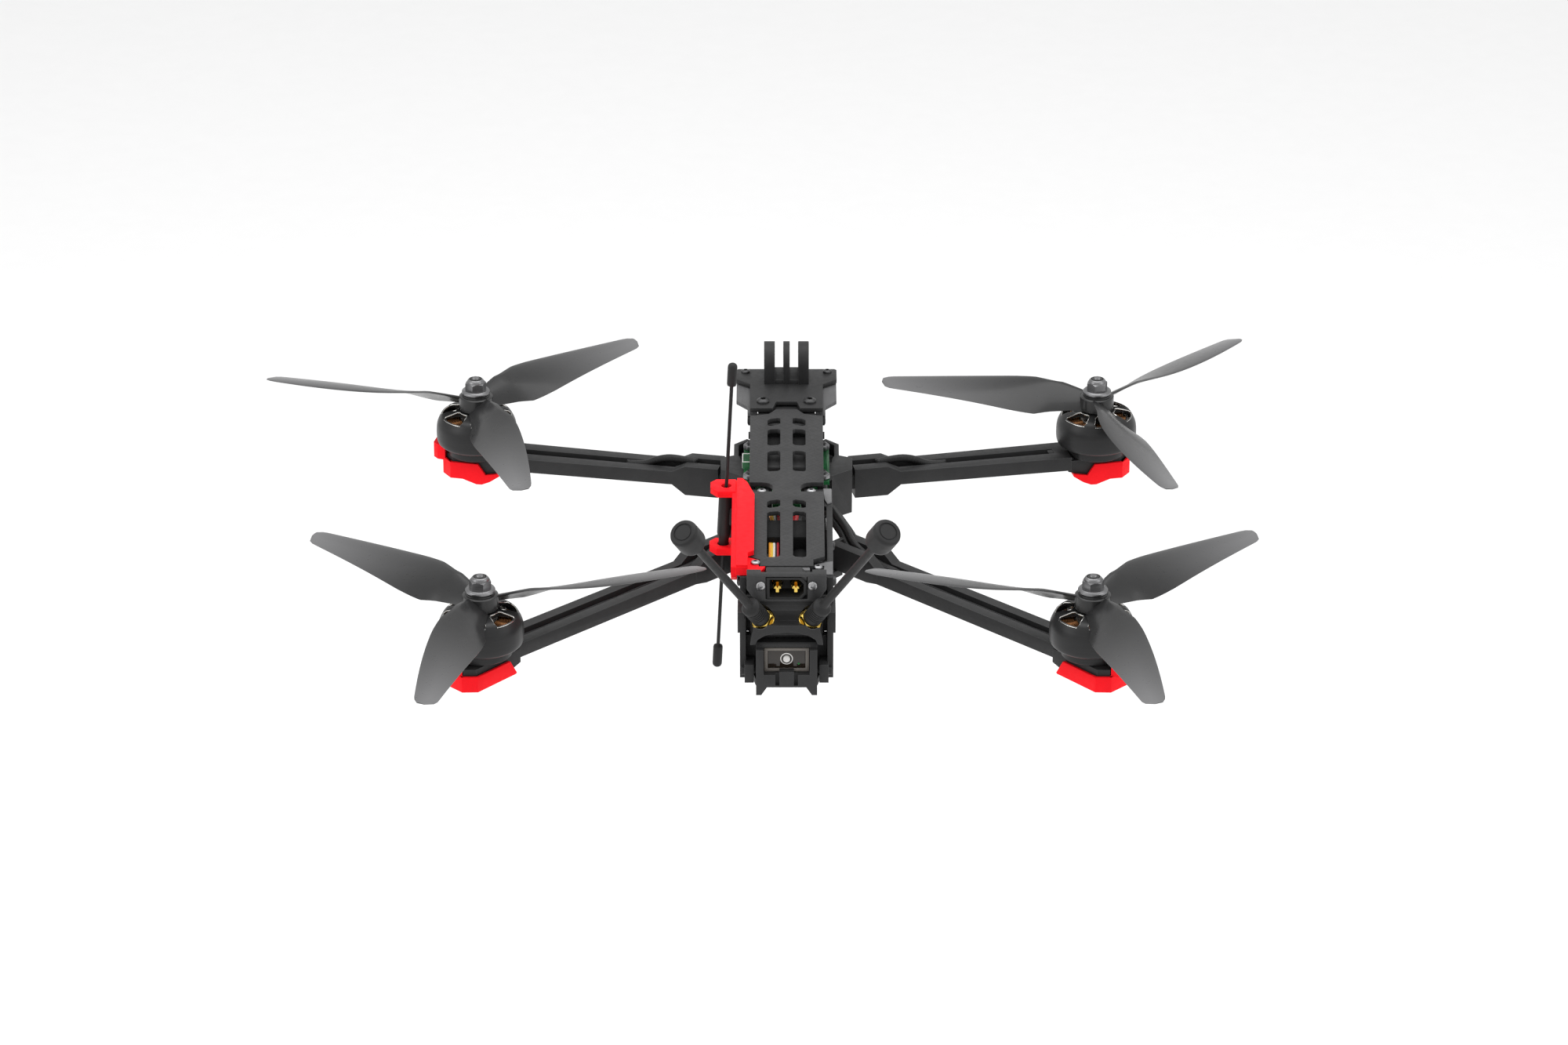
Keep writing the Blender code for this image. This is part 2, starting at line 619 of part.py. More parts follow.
def add_sides():
    wall = slab([(22.6, 68.0), (22.6, 88.0), (17.0, 93.6), (15.8, 92.2), (20.6, 87.0), (20.6, 66.0)],
                MID_HIGH + GAP, 17.0)
    wedge = slab([(19.4, 47.5), (28.0, 54.0), (28.2, 66.0), (22.6, 68.5), (20.6, 68.5), (19.4, 64.0)],
                 0.3, 20.5)
    lip = slab([(16.0, 45.5), (19.8, 47.7), (19.8, 62.0), (16.0, 58.0)], 18.6, 20.5)
    step = box((20.0, 30.0), (64.8, 70.0), (0.0, MID_HIGH + GAP))
    right = cut(joined(wedge, wall, lip), step)
    piece("fairing_right", right, "moulding")
    piece("fairing_left", mirrored(right), "moulding")

    profile = [(-22.0, 30.0), (-22.0, 44.4), (-104.0, 44.4), (-104.0, 33.0), (-113.0, 30.0),
               (-113.0, 4.0), (-84.0, 4.0), (-66.0, 12.0), (-30.0, 20.0)]
    windows = [[(-30, 40), (-42, 40), (-42, 30), (-30, 30)], [(-48, 40), (-62, 40), (-62, 28), (-48, 28)],
               [(-68, 40), (-82, 40), (-82, 26), (-68, 26)]]
    plate = slab(profile, 16.4, 18.8, plane="YZ", holes=windows)
    tab = slab([(7.5, -19.5), (18.8, -19.5), (18.8, -36.0), (14.0, -36.0), (11.5, -27.5), (7.5, -27.5)],
               42.6, 44.6)
    rear_tab = slab([(9.5, -91.5), (18.8, -88.0), (18.8, -103.5), (9.5, -103.5)], 42.6, 44.6)
    armour = box((17.0, 19.7), (-113.0, -92.0), (24.0, 33.0))
    knob = cylinder(1.7, (16.0, -114.0, 7.6), (18.2, -114.0, 7.6), 12)
    block = box((13.2, 16.9), (-117.0, -108.0), (3.6, 11.5))
    right = joined(plate, tab, rear_tab, armour, block, knob)
    holes = [cylinder(SCREW_HOLE, (x, y, 41), (x, y, 46), 8) for x, y, _radius in POSTS.values()]
    right = cut(right, *holes)
    piece("side_panel_right", right, "moulding")
    piece("side_panel_left", mirrored(right), "moulding")


# ---------------------------------------------------------------- tail

def add_tail():
    """Tail housing with the power socket, two antenna faces and the window of the video unit."""
    panel = slab([(-16.0, 49.5), (-16.0, 43.0), (-12.3, 37.5), (12.3, 37.5), (16.0, 43.0), (16.0, 49.5)],
                 PANEL_Y, -107.4, plane="XZ")
    neck = bevelled(box((-14.6, 14.6), (-113.0, -99.0), (21.0, 36.0)), 2.0)
    core = box((-11.6, 11.6), (PANEL_Y + 0.5, -104.0), (33.0, 40.0))
    arch = [(HOOD_HALF * math.cos(t), 21.2 + 5.4 * math.sin(t))
            for t in (math.pi * k / 8 for k in range(9))]
    hood = slab([(-14.6, 21.0), *reversed(arch), (14.6, 21.0), (13.0, 29.6), (-13.0, 29.6)],
                -118.0, -104.0, plane="XZ")
    flange = box((-16.1, 16.1), (-104.4, -99.2), (21.0, 36.6))
    body = joined(panel, neck, core, hood, flange)
    socket = box((-8.4, 8.4), (-120.0, -95.0), (38.6, 48.4))
    inside = box((-12.0, 12.0), (-109.0, -90.0), (16.0, 35.0))
    rebate = box((-10.3, 10.3), (-109.8, -107.0), (45.5, 50.0))
    cuts = [socket, inside, rebate]
    for side in (1, -1):
        place = antenna_place(side)
        seat = cylinder(5.2, (0, 0, 0), (0, 0, 22), 20)
        hole = cylinder(3.5, (0, 0, -9), (0, 0, 2), 16)
        cuts += [moved(seat, place), moved(hole, place)]
    piece("tail_housing", cut(body, *cuts), "moulding")

    face = [(-12.3, FOOT_LOW), (-12.3, 20.6), (12.3, 20.6), (12.3, FOOT_LOW), (10.2, FOOT_LOW),
            (7.9, 2.5), (-7.9, 2.5), (-10.2, FOOT_LOW)]
    guard = slab(face, TAIL_Y, -104.0, plane="XZ")
    wings = box((-16.1, 16.1), (-107.7, -104.0), (3.4, 20.4))
    room = box((-9.3, 9.3), (-115.3, -100.0), (7.7, 18.5))
    sill = box((-9.3, 9.3), (-125.0, -115.2), (8.0, 25.0))
    opening = cut(sill, box((-2.9, 2.9), (-126.0, -110.0), (7.0, 9.3)))
    plate_room = box((-13.0, 13.0), (-112.4, -100.0), (-3.0, BELLY_TOP + GAP))
    slope = slab([(-121.0, 19.0), (-121.0, 24.0), (-112.0, 24.0), (-116.0, 19.0)], -13.0, 13.0, plane="YZ")
    grooves = [box(x, (-121.0, -116.8), (3.2, 9.5)) for x in ((-4.6, -2.9), (2.9, 4.6))]
    solid = joined(guard, wings)
    piece("tail_guard", cut(solid, room, opening, plate_room, slope, *grooves), "moulding")


def add_power_socket():
    """Two-pin battery socket: a shell open to the rear around two round pins."""
    low, high, half = 38.9, 48.1, 8.1
    face = [(-half, low), (half - 2.2, low), (half, low + 2.2), (half, high - 2.2), (half - 2.2, high),
            (-half, high)]
    hollow = [(u * 0.84, (v - (low + high) / 2) * 0.84 + (low + high) / 2) for u, v in face]
    shell = slab(face, PANEL_Y - 0.8, -102.0, plane="XZ")
    mouth = slab(hollow, -114.0, -104.4, plane="XZ")
    bores = [cylinder(PIN_RADIUS + 0.45, (x, -106.0, PIN_Z), (x, -98.0, PIN_Z), 16) for x in (-PIN_X, PIN_X)]
    piece("power_socket", cut(shell, mouth, *bores), "antenna")
    pin = cylinder(PIN_RADIUS, (0, -111.4, PIN_Z), (0, -95.0, PIN_Z), 16)
    split = box((-0.3, 0.3), (-113.0, -105.0), (PIN_Z - 3, PIN_Z + 3))
    pin = smoothed(cut(pin, split))
    for x, name in ((-PIN_X, "left"), (PIN_X, "right")):
        piece("power_pin_" + name, pin, "brass", Matrix.Translation((x * MM, 0, 0)))


# ---------------------------------------------------------------- antennas

def antenna_place(side):
    """The axis of one video antenna: Z runs from its socket to its tip."""
    base = Vector((side * SMA_BASE.x, SMA_BASE.y, SMA_BASE.z))
    tip = Vector((side * ANTENNA_TIP.x, ANTENNA_TIP.y, ANTENNA_TIP.z))
    return along(base, tip - base)


def add_video_antennas():
    length = (ANTENNA_TIP - SMA_BASE).length
    washer = cylinder(4.9, (0, 0, GAP), (0, 0, 1.1), 20)
    hexagon = cylinder(4.5, (0, 0, 0.9), (0, 0, 3.1), 6)
    thread = cylinder(2.6, (0, 0, -7.0), (0, 0, 4.6), 16)
    socket = smoothed(joined(washer, hexagon, thread))
    antenna = smoothed(turned([
        (0.0, length), (4.9, length), (5.7, length - 0.7), (5.8, length - 9.0), (4.9, length - 11.0),
        (2.6, length - 13.5), (1.75, length - 15.0), (1.75, 15.5), (3.9, 13.8),
        (3.9, 3.4), (2.9, 3.4), (2.9, 5.0), (0.0, 5.0)], 16))
    for side, name in ((-1, "left"), (1, "right")):
        place = antenna_place(side)
        piece("antenna_socket_" + name, socket, "brass", place)
        piece("video_antenna_" + name, antenna, "antenna", place)


def whip_point(height):
    """The point of the receiver antenna at a height."""
    return WHIP_LOW.lerp(WHIP_TOP, (height - WHIP_LOW.z) / (WHIP_TOP.z - WHIP_LOW.z))


def add_receiver_antenna():
    length = (WHIP_TOP - WHIP_LOW).length
    scale = length / (WHIP_TOP.z - WHIP_LOW.z)
    body_top, body_low, neck_low = ((z - WHIP_LOW.z) * scale for z in (45.4, 27.0, 19.5))
    profile = [
        (0.0, length), (1.3, length), (2.0, length - 0.8), (2.0, length - 9.5), (WHIP_RADIUS, length - 10.5),
        (WHIP_RADIUS, body_top + 1.0), (2.4, body_top), (2.9, body_top - 1.0), (2.9, body_low),
        (2.1, body_low - 2.5), (2.1, neck_low), (WHIP_RADIUS, neck_low - 0.6), (WHIP_RADIUS, 10.5),
        (2.0, 9.5), (2.0, 0.8), (1.3, 0.0), (0.0, 0.0)]
    whip = turned(profile, 14)
    whip.transform(along(WHIP_LOW, WHIP_TOP - WHIP_LOW))
    stub = box((whip_point(34.0).x, -19.4), (WHIP_LOW.y - 2.2, WHIP_LOW.y + 2.2), (31.5, 39.5))
    piece("receiver_antenna", smoothed(joined(whip, stub)), "antenna")

    bar = slab([(-20.4, -103.0), (-15.7, -103.0), (-15.7, -91.0), (-13.2, -89.0), (-13.2, -34.5),
                (-16.2, -22.5), (-18.2, -18.6), (-20.4, -18.6)], TOP_HIGH + GAP, 49.4)
    tab = slab([(-20.4, -103.3), (-10.2, -103.3), (-8.6, -99.2), (-11.2, -99.2), (-11.2, -93.2),
                (-15.8, -90.4), (-20.4, -90.4)], 44.9, 47.0)
    riser = box((-20.4, -15.8), (-103.3, -90.4), (46.0, 48.5))
    web = slab([(-18.8, 48.5), (-18.8, 19.5), (-33.0, 19.5), (-44.0, 26.0), (-97.0, 40.0), (-103.0, 44.0),
                (-103.0, 48.5)], -22.4, -20.0, plane="YZ",
               holes=[[(-20.8, 45.9), (-20.8, 24.5), (-31.0, 24.5), (-31.0, 45.9)],
                      [(-35.0, 44.0), (-35.0, 32.0), (-52.0, 35.0), (-52.0, 44.0)]])
    rings = []
    for low, high, hole, reach in ((46.2, 48.9, 2.2, 6.2), (19.5, 22.6, 2.5, 5.4)):
        centre = whip_point((low + high) / 2)
        front, rear, edge = centre.y + reach, centre.y - reach, centre.x - reach - 0.3
        outline = [(-21.0, front), (edge + 2.4, front), (edge, front - 3.0), (edge, rear + 4.4),
                   (edge + 3.0, rear), (-21.0, rear)]
        bore = arc((centre.x, centre.y), hole, 0, 330, 11)
        rings.append(slab(outline, low, high, holes=[bore]))
    piece("antenna_holder", joined(bar, tab, riser, web, *rings), "red_rubber")


# ---------------------------------------------------------------- electronics

def board(low, high, half_x, half_y, extras):
    outline = [(-half_x, STACK_Y - half_y), (half_x, STACK_Y - half_y), (half_x, STACK_Y + half_y),
               (-half_x, STACK_Y + half_y)]
    holes = [arc((sx * STACK_HALF, STACK_Y + sy * STACK_HALF), 2.0, 0, 315, 7)
             for sx in (1, -1) for sy in (1, -1)]
    return joined(slab(outline, low, high, holes=holes), *extras)


def add_electronics():
    sink = [box((-11.0, 11.0), (STACK_Y - 17.0, STACK_Y + 17.0), (14.4, 17.4))]
    piece("speed_controller", board(13.0, 14.6, 18.2, 18.4, sink), "board")
    chips = [box((-5.0, 5.0), (STACK_Y - 5.0, STACK_Y + 5.0), (23.4, 24.6)),
             box((-18.8, -14.0), (STACK_Y - 5.0, STACK_Y + 4.0), (23.4, 26.4)),
             box((-4.5, 4.5), (STACK_Y + 12.0, STACK_Y + 19.2), (23.4, 26.6)),
             box((-12.0, 12.0), (STACK_Y - 18.8, STACK_Y - 14.0), (23.4, 26.0))]
    piece("flight_controller", board(22.0, 23.6, 18.2, 18.4, chips), "board")

    body = bevelled(box((-8.9, 8.9), (-114.5, -82.0), (8.0, 18.2)), 0.6)
    bottom = BUTTON + Vector((0, 3.2, 0))
    pocket = cylinder(BUTTON_RADIUS + 0.35, BUTTON - Vector((0, 1, 0)), bottom, 16)
    piece("video_transmitter", cut(body, pocket), "glass")
    button = cylinder(BUTTON_RADIUS, (0, 0, 0), (0, BUTTON_LENGTH, 0), 16)
    piece("link_button", button, "moulding", Matrix.Translation(BUTTON * MM))

    piece("satellite_receiver", bevelled(box((-9.0, 9.0), (8.0, 26.0), (36.5, 42.5)), 0.8), "moulding")
    piece("radio_receiver", bevelled(box((-6.0, 6.0), (-16.0, 0.0), (33.0, 36.4)), 0.4), "board")
    can = cylinder(5.0, (5.6, -84.0, 33.0), (5.6, -56.0, 33.0), 20)
    piece("capacitor", smoothed(bevelled(can, 0.5)), "antenna")
    for name, (x, y, radius) in POSTS.items():
        post = cylinder(radius, (0, 0, MID_HIGH + GAP), (0, 0, 42.6 - GAP), 6)
        for side, label in ((-1, "left"), (1, "right")):
            piece(f"post_{name}_{label}", post, "steel",
                  Matrix.Translation((side * x * MM, y * MM, 0)))


def main():
    clear_scene()
    collection("camera_quadcopter")
    collection("cutters")
    add_arms()
    add_rotors()
    add_plates()
    add_nose()
    add_sides()
    add_tail()
    add_power_socket()
    add_video_antennas()
    add_receiver_antenna()
    add_electronics()


main()
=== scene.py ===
"""Looks of a camera quadcopter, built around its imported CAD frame: finer surfaces, fittings,
wiring, materials, floor, light and camera. Lengths are millimetres until MM makes them metres."""
import cmath
import json
import math

import bmesh
import bpy
from mathutils import Matrix, Vector

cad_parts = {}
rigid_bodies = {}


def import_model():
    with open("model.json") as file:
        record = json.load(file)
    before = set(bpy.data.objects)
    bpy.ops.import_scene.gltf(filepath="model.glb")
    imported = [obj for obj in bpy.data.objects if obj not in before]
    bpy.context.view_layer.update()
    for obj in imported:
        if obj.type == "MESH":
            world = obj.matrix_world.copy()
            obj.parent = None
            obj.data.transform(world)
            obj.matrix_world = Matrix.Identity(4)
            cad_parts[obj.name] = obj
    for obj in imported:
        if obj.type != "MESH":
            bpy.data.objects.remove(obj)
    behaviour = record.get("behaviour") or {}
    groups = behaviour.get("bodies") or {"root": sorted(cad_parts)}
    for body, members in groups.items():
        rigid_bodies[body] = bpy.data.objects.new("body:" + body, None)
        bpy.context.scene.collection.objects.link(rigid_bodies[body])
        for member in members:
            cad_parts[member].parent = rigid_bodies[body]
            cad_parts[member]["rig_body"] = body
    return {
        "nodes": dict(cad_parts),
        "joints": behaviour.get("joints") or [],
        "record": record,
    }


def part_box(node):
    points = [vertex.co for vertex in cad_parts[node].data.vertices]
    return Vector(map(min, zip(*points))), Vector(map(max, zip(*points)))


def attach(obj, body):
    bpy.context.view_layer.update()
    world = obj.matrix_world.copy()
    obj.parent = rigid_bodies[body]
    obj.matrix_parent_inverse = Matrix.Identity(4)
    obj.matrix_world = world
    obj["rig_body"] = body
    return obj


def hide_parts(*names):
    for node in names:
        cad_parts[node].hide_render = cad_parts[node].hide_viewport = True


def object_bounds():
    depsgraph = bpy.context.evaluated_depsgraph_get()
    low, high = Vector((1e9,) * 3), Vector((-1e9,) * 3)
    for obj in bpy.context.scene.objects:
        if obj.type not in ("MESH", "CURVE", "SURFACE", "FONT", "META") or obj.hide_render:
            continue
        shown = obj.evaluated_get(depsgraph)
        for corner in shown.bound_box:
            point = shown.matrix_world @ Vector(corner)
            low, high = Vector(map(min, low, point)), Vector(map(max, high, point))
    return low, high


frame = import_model()
cad_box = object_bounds()

MM = 0.001
CORNERS = ("front_left", "front_right", "rear_left", "rear_right")
SIDES = ((-1, "left"), (1, "right"))
ARM_ANGLE = {"front": 12.0, "rear": -44.0}
FOOT_HOLE = 5.66
JOINTS = {joint["name"]: joint for joint in frame["joints"]}
MOUNTS = {mount["name"]: mount for mount in frame["record"]["mounts"]}


def span(node):
    """Lowest and highest corners of a CAD node, in millimetres."""
    low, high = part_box(node)
    return low / MM, high / MM


def middle(node):
    low, high = span(node)
    return (low + high) / 2


# ---- materials

def add(tree, kind, output, values=None, **settings):
    """An output of a new shader node, made with its settings, values and links from other sockets."""
    made = tree.nodes.new("ShaderNode" + kind)
    for key, value in settings.items():
        setattr(made, key, value)
    for key, value in (values or {}).items():
        if isinstance(value, bpy.types.NodeSocket):
            tree.links.new(value, made.inputs[key])
        else:
            made.inputs[key].default_value = value
    return made.outputs[output]


def mixed(tree, share, first, second, blend="MIX"):
    return add(tree, "MixRGB", "Color", {"Fac": share, "Color1": first, "Color2": second}, blend_type=blend)


def ranged(tree, value, start, end, low=0.0, high=1.0):
    """The value stretched from start..end to low..high."""
    return add(tree, "MapRange", "Result", {"Value": value, "From Min": start, "From Max": end,
                                            "To Min": low, "To Max": high})


def grey(value):
    return (value, value, value * 1.02)


def finish(name, colour, rough, metal=0.0, grain=2600.0, bump=0.15, mottle=0.14, stretch=(1, 1, 1),
           edge=None, coat=0.0, pattern=None, spread=0.10, shine=0.25, pale=None):
    """A procedural surface: mottled colour, uneven roughness, fine grain and paler edges, partly wear and
    partly a painted highlight.

    pattern is (kind, period in mm, depth of colour, depth of relief), for a weave or print layers.
    edge is (radius in mm, colour, strength) for the paler edges, partly wear and partly a painted highlight.
    pale is the colour that the surface fades to where it faces up and its mesh attribute "reach" is 1;
    this is partly the thing's own paler tone and partly a painted sheen."""
    made = bpy.data.materials.new(name)
    made.use_nodes = True
    tree = made.node_tree
    shader = tree.nodes["Principled BSDF"]
    where = add(tree, "Mapping", "Vector", {"Vector": add(tree, "TexCoord", "Object"), "Scale": stretch})
    fine, broad, patch = (
        add(tree, "TexNoise", "Fac", {"Vector": where, "Scale": scale, "Detail": detail})
        for scale, detail in ((grain, 3.0), (90.0, 5.0), (420.0, 4.0)))
    dark = (*(c * (1 - mottle) for c in colour), 1.0)
    light = (*(c * (1 + mottle) for c in colour), 1.0)
    tint = mixed(tree, ranged(tree, broad, 0.3, 0.7), dark, light)
    tint = mixed(tree, 1.0, tint, ranged(tree, fine, 0.35, 0.7, 1 - mottle, 1 + mottle), "MULTIPLY")
    height = fine
    if pattern:
        kind, period, depth, relief = pattern
        lines = woven(tree, where, kind, period)
        tint = mixed(tree, 1.0, tint, ranged(tree, lines, 0.0, 1.0, 1 - depth, 1 + depth), "MULTIPLY")
        height = add(tree, "Math", "Value", {0: fine, 1: lines}, operation="ADD")
        bump = max(bump, relief)
    # Paler edges where the rounded normal turns away from the flat one: partly wear, partly a painted edge
    # highlight, broken up by noise.
    if edge:
        radius, edge_wear_and_highlight_colour, strength = edge
        softened = add(tree, "Bevel", "Normal", {"Radius": radius * MM}, samples=4)
        flat = add(tree, "NewGeometry", "Normal")
        same = add(tree, "VectorMath", "Value", {0: softened, 1: flat}, operation="DOT_PRODUCT")
        edge_wear_and_highlight = ranged(tree, same, 0.995, 0.82, 0.0, strength)
        edge_wear_and_highlight = add(tree, "Math", "Value", {0: edge_wear_and_highlight, 1: patch}, operation="MULTIPLY")
        tint = mixed(tree, edge_wear_and_highlight, tint, (*edge_wear_and_highlight_colour, 1.0))
    # Painted sheen: the colour fades to pale on faces that look up, weighted by "reach"; the paler tips are
    # partly the blade's own tone.
    if pale:
        reach = add(tree, "Attribute", "Fac", attribute_name="reach")
        painted_sheen_facing = add(tree, "SeparateXYZ", "Z", {"Vector": add(tree, "NewGeometry", "Normal")})
        painted_sheen_facing = ranged(tree, painted_sheen_facing, 0.72, 0.97)
        reach = add(tree, "Math", "Value", {0: reach, 1: painted_sheen_facing}, operation="MULTIPLY")
        tint = mixed(tree, reach, tint, (*pale, 1.0))
    relief = add(tree, "Bump", "Normal", {"Height": height, "Strength": bump, "Distance": 0.0001})
    tree.links.new(tint, shader.inputs["Base Color"])
    tree.links.new(ranged(tree, patch, 0.3, 0.7, rough - spread / 2, rough + spread / 2),
                   shader.inputs["Roughness"])
    tree.links.new(relief, shader.inputs["Normal"])
    for socket, value in (("Metallic", metal), ("Specular IOR Level", shine), ("Coat Weight", coat),
                          ("Coat Roughness", 0.12)):
        shader.inputs[socket].default_value = value
    return made


def woven(tree, where, kind, period):
    """A 0 to 1 pattern: flat print layers, or the twill of carbon cloth."""
    rate = math.tau / (20 * period * MM)
    if kind == "layers":
        return add(tree, "TexWave", "Fac", {"Vector": where, "Scale": rate, "Distortion": 0.6, "Detail": 2.0},
                   bands_direction="Z")
    bands = []
    for angle in (45.0, -45.0):
        tilted = add(tree, "Mapping", "Vector", {"Vector": where, "Rotation": (0, 0, math.radians(angle))})
        bands.append(add(tree, "TexWave", "Fac", {"Vector": tilted, "Scale": rate, "Distortion": 0.2},
                         bands_direction="X"))
    tows = add(tree, "TexChecker", "Fac", {"Vector": where, "Scale": 0.5 / (period * MM)})
    return mixed(tree, tows, *bands)


# Paler edges: partly wear, partly a painted highlight.
EDGE_WEAR_AND_HIGHLIGHT = (0.35, grey(0.20), 0.7)
LOOKS = {
    "plate": finish("carbon_plate", grey(0.034), 0.55, pattern=("twill", 2.0, 0.10, 0.05), bump=0.10,
                    edge=(0.3, grey(0.17), 0.6), mottle=0.06),
    "wing": finish("sanded_carbon", grey(0.105), 0.62, pattern=("twill", 0.9, 0.30, 0.2), mottle=0.15),
    "moulding": finish("black_nylon", grey(0.025), 0.52, grain=5200.0, bump=0.18, edge=EDGE_WEAR_AND_HIGHLIGHT),
    "tail": finish("tail_nylon", grey(0.030), 0.55, grain=4200.0, bump=0.16, edge=(0.4, grey(0.16), 0.6)),
    "light_tab": finish("light_tab", grey(0.15), 0.5, grain=4200.0, bump=0.16, edge=EDGE_WEAR_AND_HIGHLIGHT),
    "antenna": finish("antenna_cover", grey(0.020), 0.48, grain=6000.0, bump=0.12, mottle=0.10),
    "sleeve": finish("cable_sleeve", grey(0.014), 0.42, grain=3400.0, bump=0.25,
                     pattern=("twill", 0.7, 0.25, 0.4)),
    # The blades fade to a paler grey towards their tips on faces that look up: partly their own tone, partly
    # a painted sheen.
    "propeller": finish("smoked_blade", grey(0.017), 0.30, grain=300.0, bump=0.0, mottle=0.03, coat=0.12,
                        spread=0.06, shine=0.35, pale=grey(0.20)),
    "bell": finish("anodised_bell", grey(0.026), 0.36, metal=0.25, grain=900.0, bump=0.04,
                   stretch=(1, 1, 14), mottle=0.06, edge=(0.3, grey(0.30), 0.6)),
    "cut_edge": finish("cut_aluminium", (0.80, 0.79, 0.76), 0.24, metal=1.0, grain=5000.0, bump=0.05),
    "magnet": finish("nickel_magnet", (0.55, 0.54, 0.51), 0.28, metal=1.0, grain=3000.0, bump=0.05),
    "copper": finish("enamelled_copper", (0.24, 0.11, 0.045), 0.32, metal=0.85, grain=4000.0, bump=0.10,
                     mottle=0.25),
    "lamination": finish("lamination", (0.36, 0.34, 0.31), 0.40, metal=0.9, bump=0.3,
                         pattern=("layers", 0.35, 0.3, 0.6)),
    "steel": finish("machined_steel", grey(0.22), 0.36, metal=1.0, grain=2200.0, bump=0.06,
                    stretch=(1, 1, 6), mottle=0.15, edge=(0.2, grey(0.50), 0.6)),
    "bright_steel": finish("bright_steel", grey(0.40), 0.36, metal=1.0, grain=2200.0, bump=0.06, mottle=0.15),
    "panel_face": finish("panel_nylon", grey(0.052), 0.5, grain=4200.0, bump=0.16,
                         edge=(0.4, grey(0.22), 0.7)),
    "dark_steel": finish("black_oxide_steel", grey(0.07), 0.34, metal=0.8, grain=3000.0, bump=0.10,
                         edge=(0.2, grey(0.40), 0.7)),
    "gold": finish("gold_plate", (0.80, 0.56, 0.13), 0.22, metal=1.0, grain=3600.0, bump=0.06, mottle=0.15),
    "red": finish("red_print", (1.0, 0.008, 0.016), 0.55, bump=0.08, mottle=0.04,
                  pattern=("layers", 0.28, 0.04, 0.22), spread=0.12, shine=0.10),
    "board": finish("solder_mask", (0.010, 0.10, 0.030), 0.32, grain=1500.0, bump=0.12, mottle=0.35,
                    coat=0.3),
    "chip": finish("chip_resin", grey(0.012), 0.45, grain=5200.0, bump=0.12),
    "tin": finish("solder_tin", (0.60, 0.60, 0.61), 0.30, metal=1.0, grain=2600.0, bump=0.2),
    "white": finish("white_nylon", (0.70, 0.70, 0.67), 0.45, grain=4000.0, bump=0.08, mottle=0.05),
    "glass": finish("coated_glass", (0.010, 0.008, 0.014), 0.05, grain=300.0, bump=0.0, coat=1.0, spread=0.03,
                    shine=0.5),
    "panel": finish("smoked_panel", (0.018, 0.012, 0.008), 0.14, grain=700.0, bump=0.01, coat=0.4,
                    spread=0.06, shine=0.4),
    "bezel": finish("bezel", (0.17, 0.155, 0.14), 0.38, grain=4200.0, bump=0.10),
    "mark": finish("printed_mark", (0.75, 0.74, 0.72), 0.50, grain=3000.0, bump=0.05, mottle=0.04),
    "foam_and_painted_shade": finish("foam_pad", grey(0.012), 0.85, grain=1400.0, bump=0.8),
}
for wire_name, wire_colour in (("orange", (0.88, 0.36, 0.03)), ("yellow", (0.85, 0.55, 0.05)),
                               ("pale", (0.80, 0.79, 0.74)), ("wine", (0.42, 0.012, 0.018)),
                               ("black", (0.014, 0.014, 0.015)), ("green", (0.02, 0.20, 0.05))):
    LOOKS["wire_" + wire_name] = finish("silicone_" + wire_name, wire_colour, 0.36, grain=2200.0,
                                        bump=0.12, mottle=0.08)


# ---- modelling tools

def from_bmesh(shape):
    mesh = bpy.data.meshes.new("shape")
    shape.to_mesh(mesh)
    shape.free()
    return mesh


def guide(data):
    obj = bpy.data.objects.new("guide", data)
    bpy.context.scene.collection.objects.link(obj)
    return obj


def baked(obj, weld=2e-6):
    """The object with its modifiers, as one welded mesh; the object is removed."""
    bpy.context.view_layer.update()
    evaluated = obj.evaluated_get(bpy.context.evaluated_depsgraph_get())
    mesh = bpy.data.meshes.new_from_object(evaluated)
    mesh.transform(obj.matrix_world)
    bpy.data.objects.remove(obj, do_unlink=True)
    shape = bmesh.new()
    shape.from_mesh(mesh)
    bmesh.ops.remove_doubles(shape, verts=shape.verts, dist=weld)
    bmesh.ops.dissolve_degenerate(shape, edges=shape.edges, dist=1e-6)
    shape.to_mesh(mesh)
    shape.free()
    return mesh


def combined(operation, base, tools):
    body = guide(base)
    helpers = [guide(tool) for tool in tools]
    for helper in helpers:
        step = body.modifiers.new(operation, "BOOLEAN")
        step.operation = operation
        step.solver = "EXACT"
        step.object = helper
    mesh = baked(body)
    for helper in helpers:
        bpy.data.objects.remove(helper, do_unlink=True)
    return mesh


def joined(base, *tools):
    return combined("UNION", base, tools)


def cut(base, *tools):
    return combined("DIFFERENCE", base, tools)


def grouped(*meshes):
    """Several closed meshes as one mesh, kept as separate shells."""
    shape = bmesh.new()
    for mesh in meshes:
        shape.from_mesh(mesh)
    return from_bmesh(shape)


def moved(mesh, place):
    copy = mesh.copy()
    copy.transform(place)
    return copy


def mirrored(mesh):
    copy = moved(mesh, Matrix.Scale(-1.0, 4, (1, 0, 0)))
    copy.flip_normals()
    return copy


def smoothed(mesh, angle=32.0):
    mesh.shade_smooth()
    mesh.set_sharp_from_angle(angle=math.radians(angle))
    return mesh


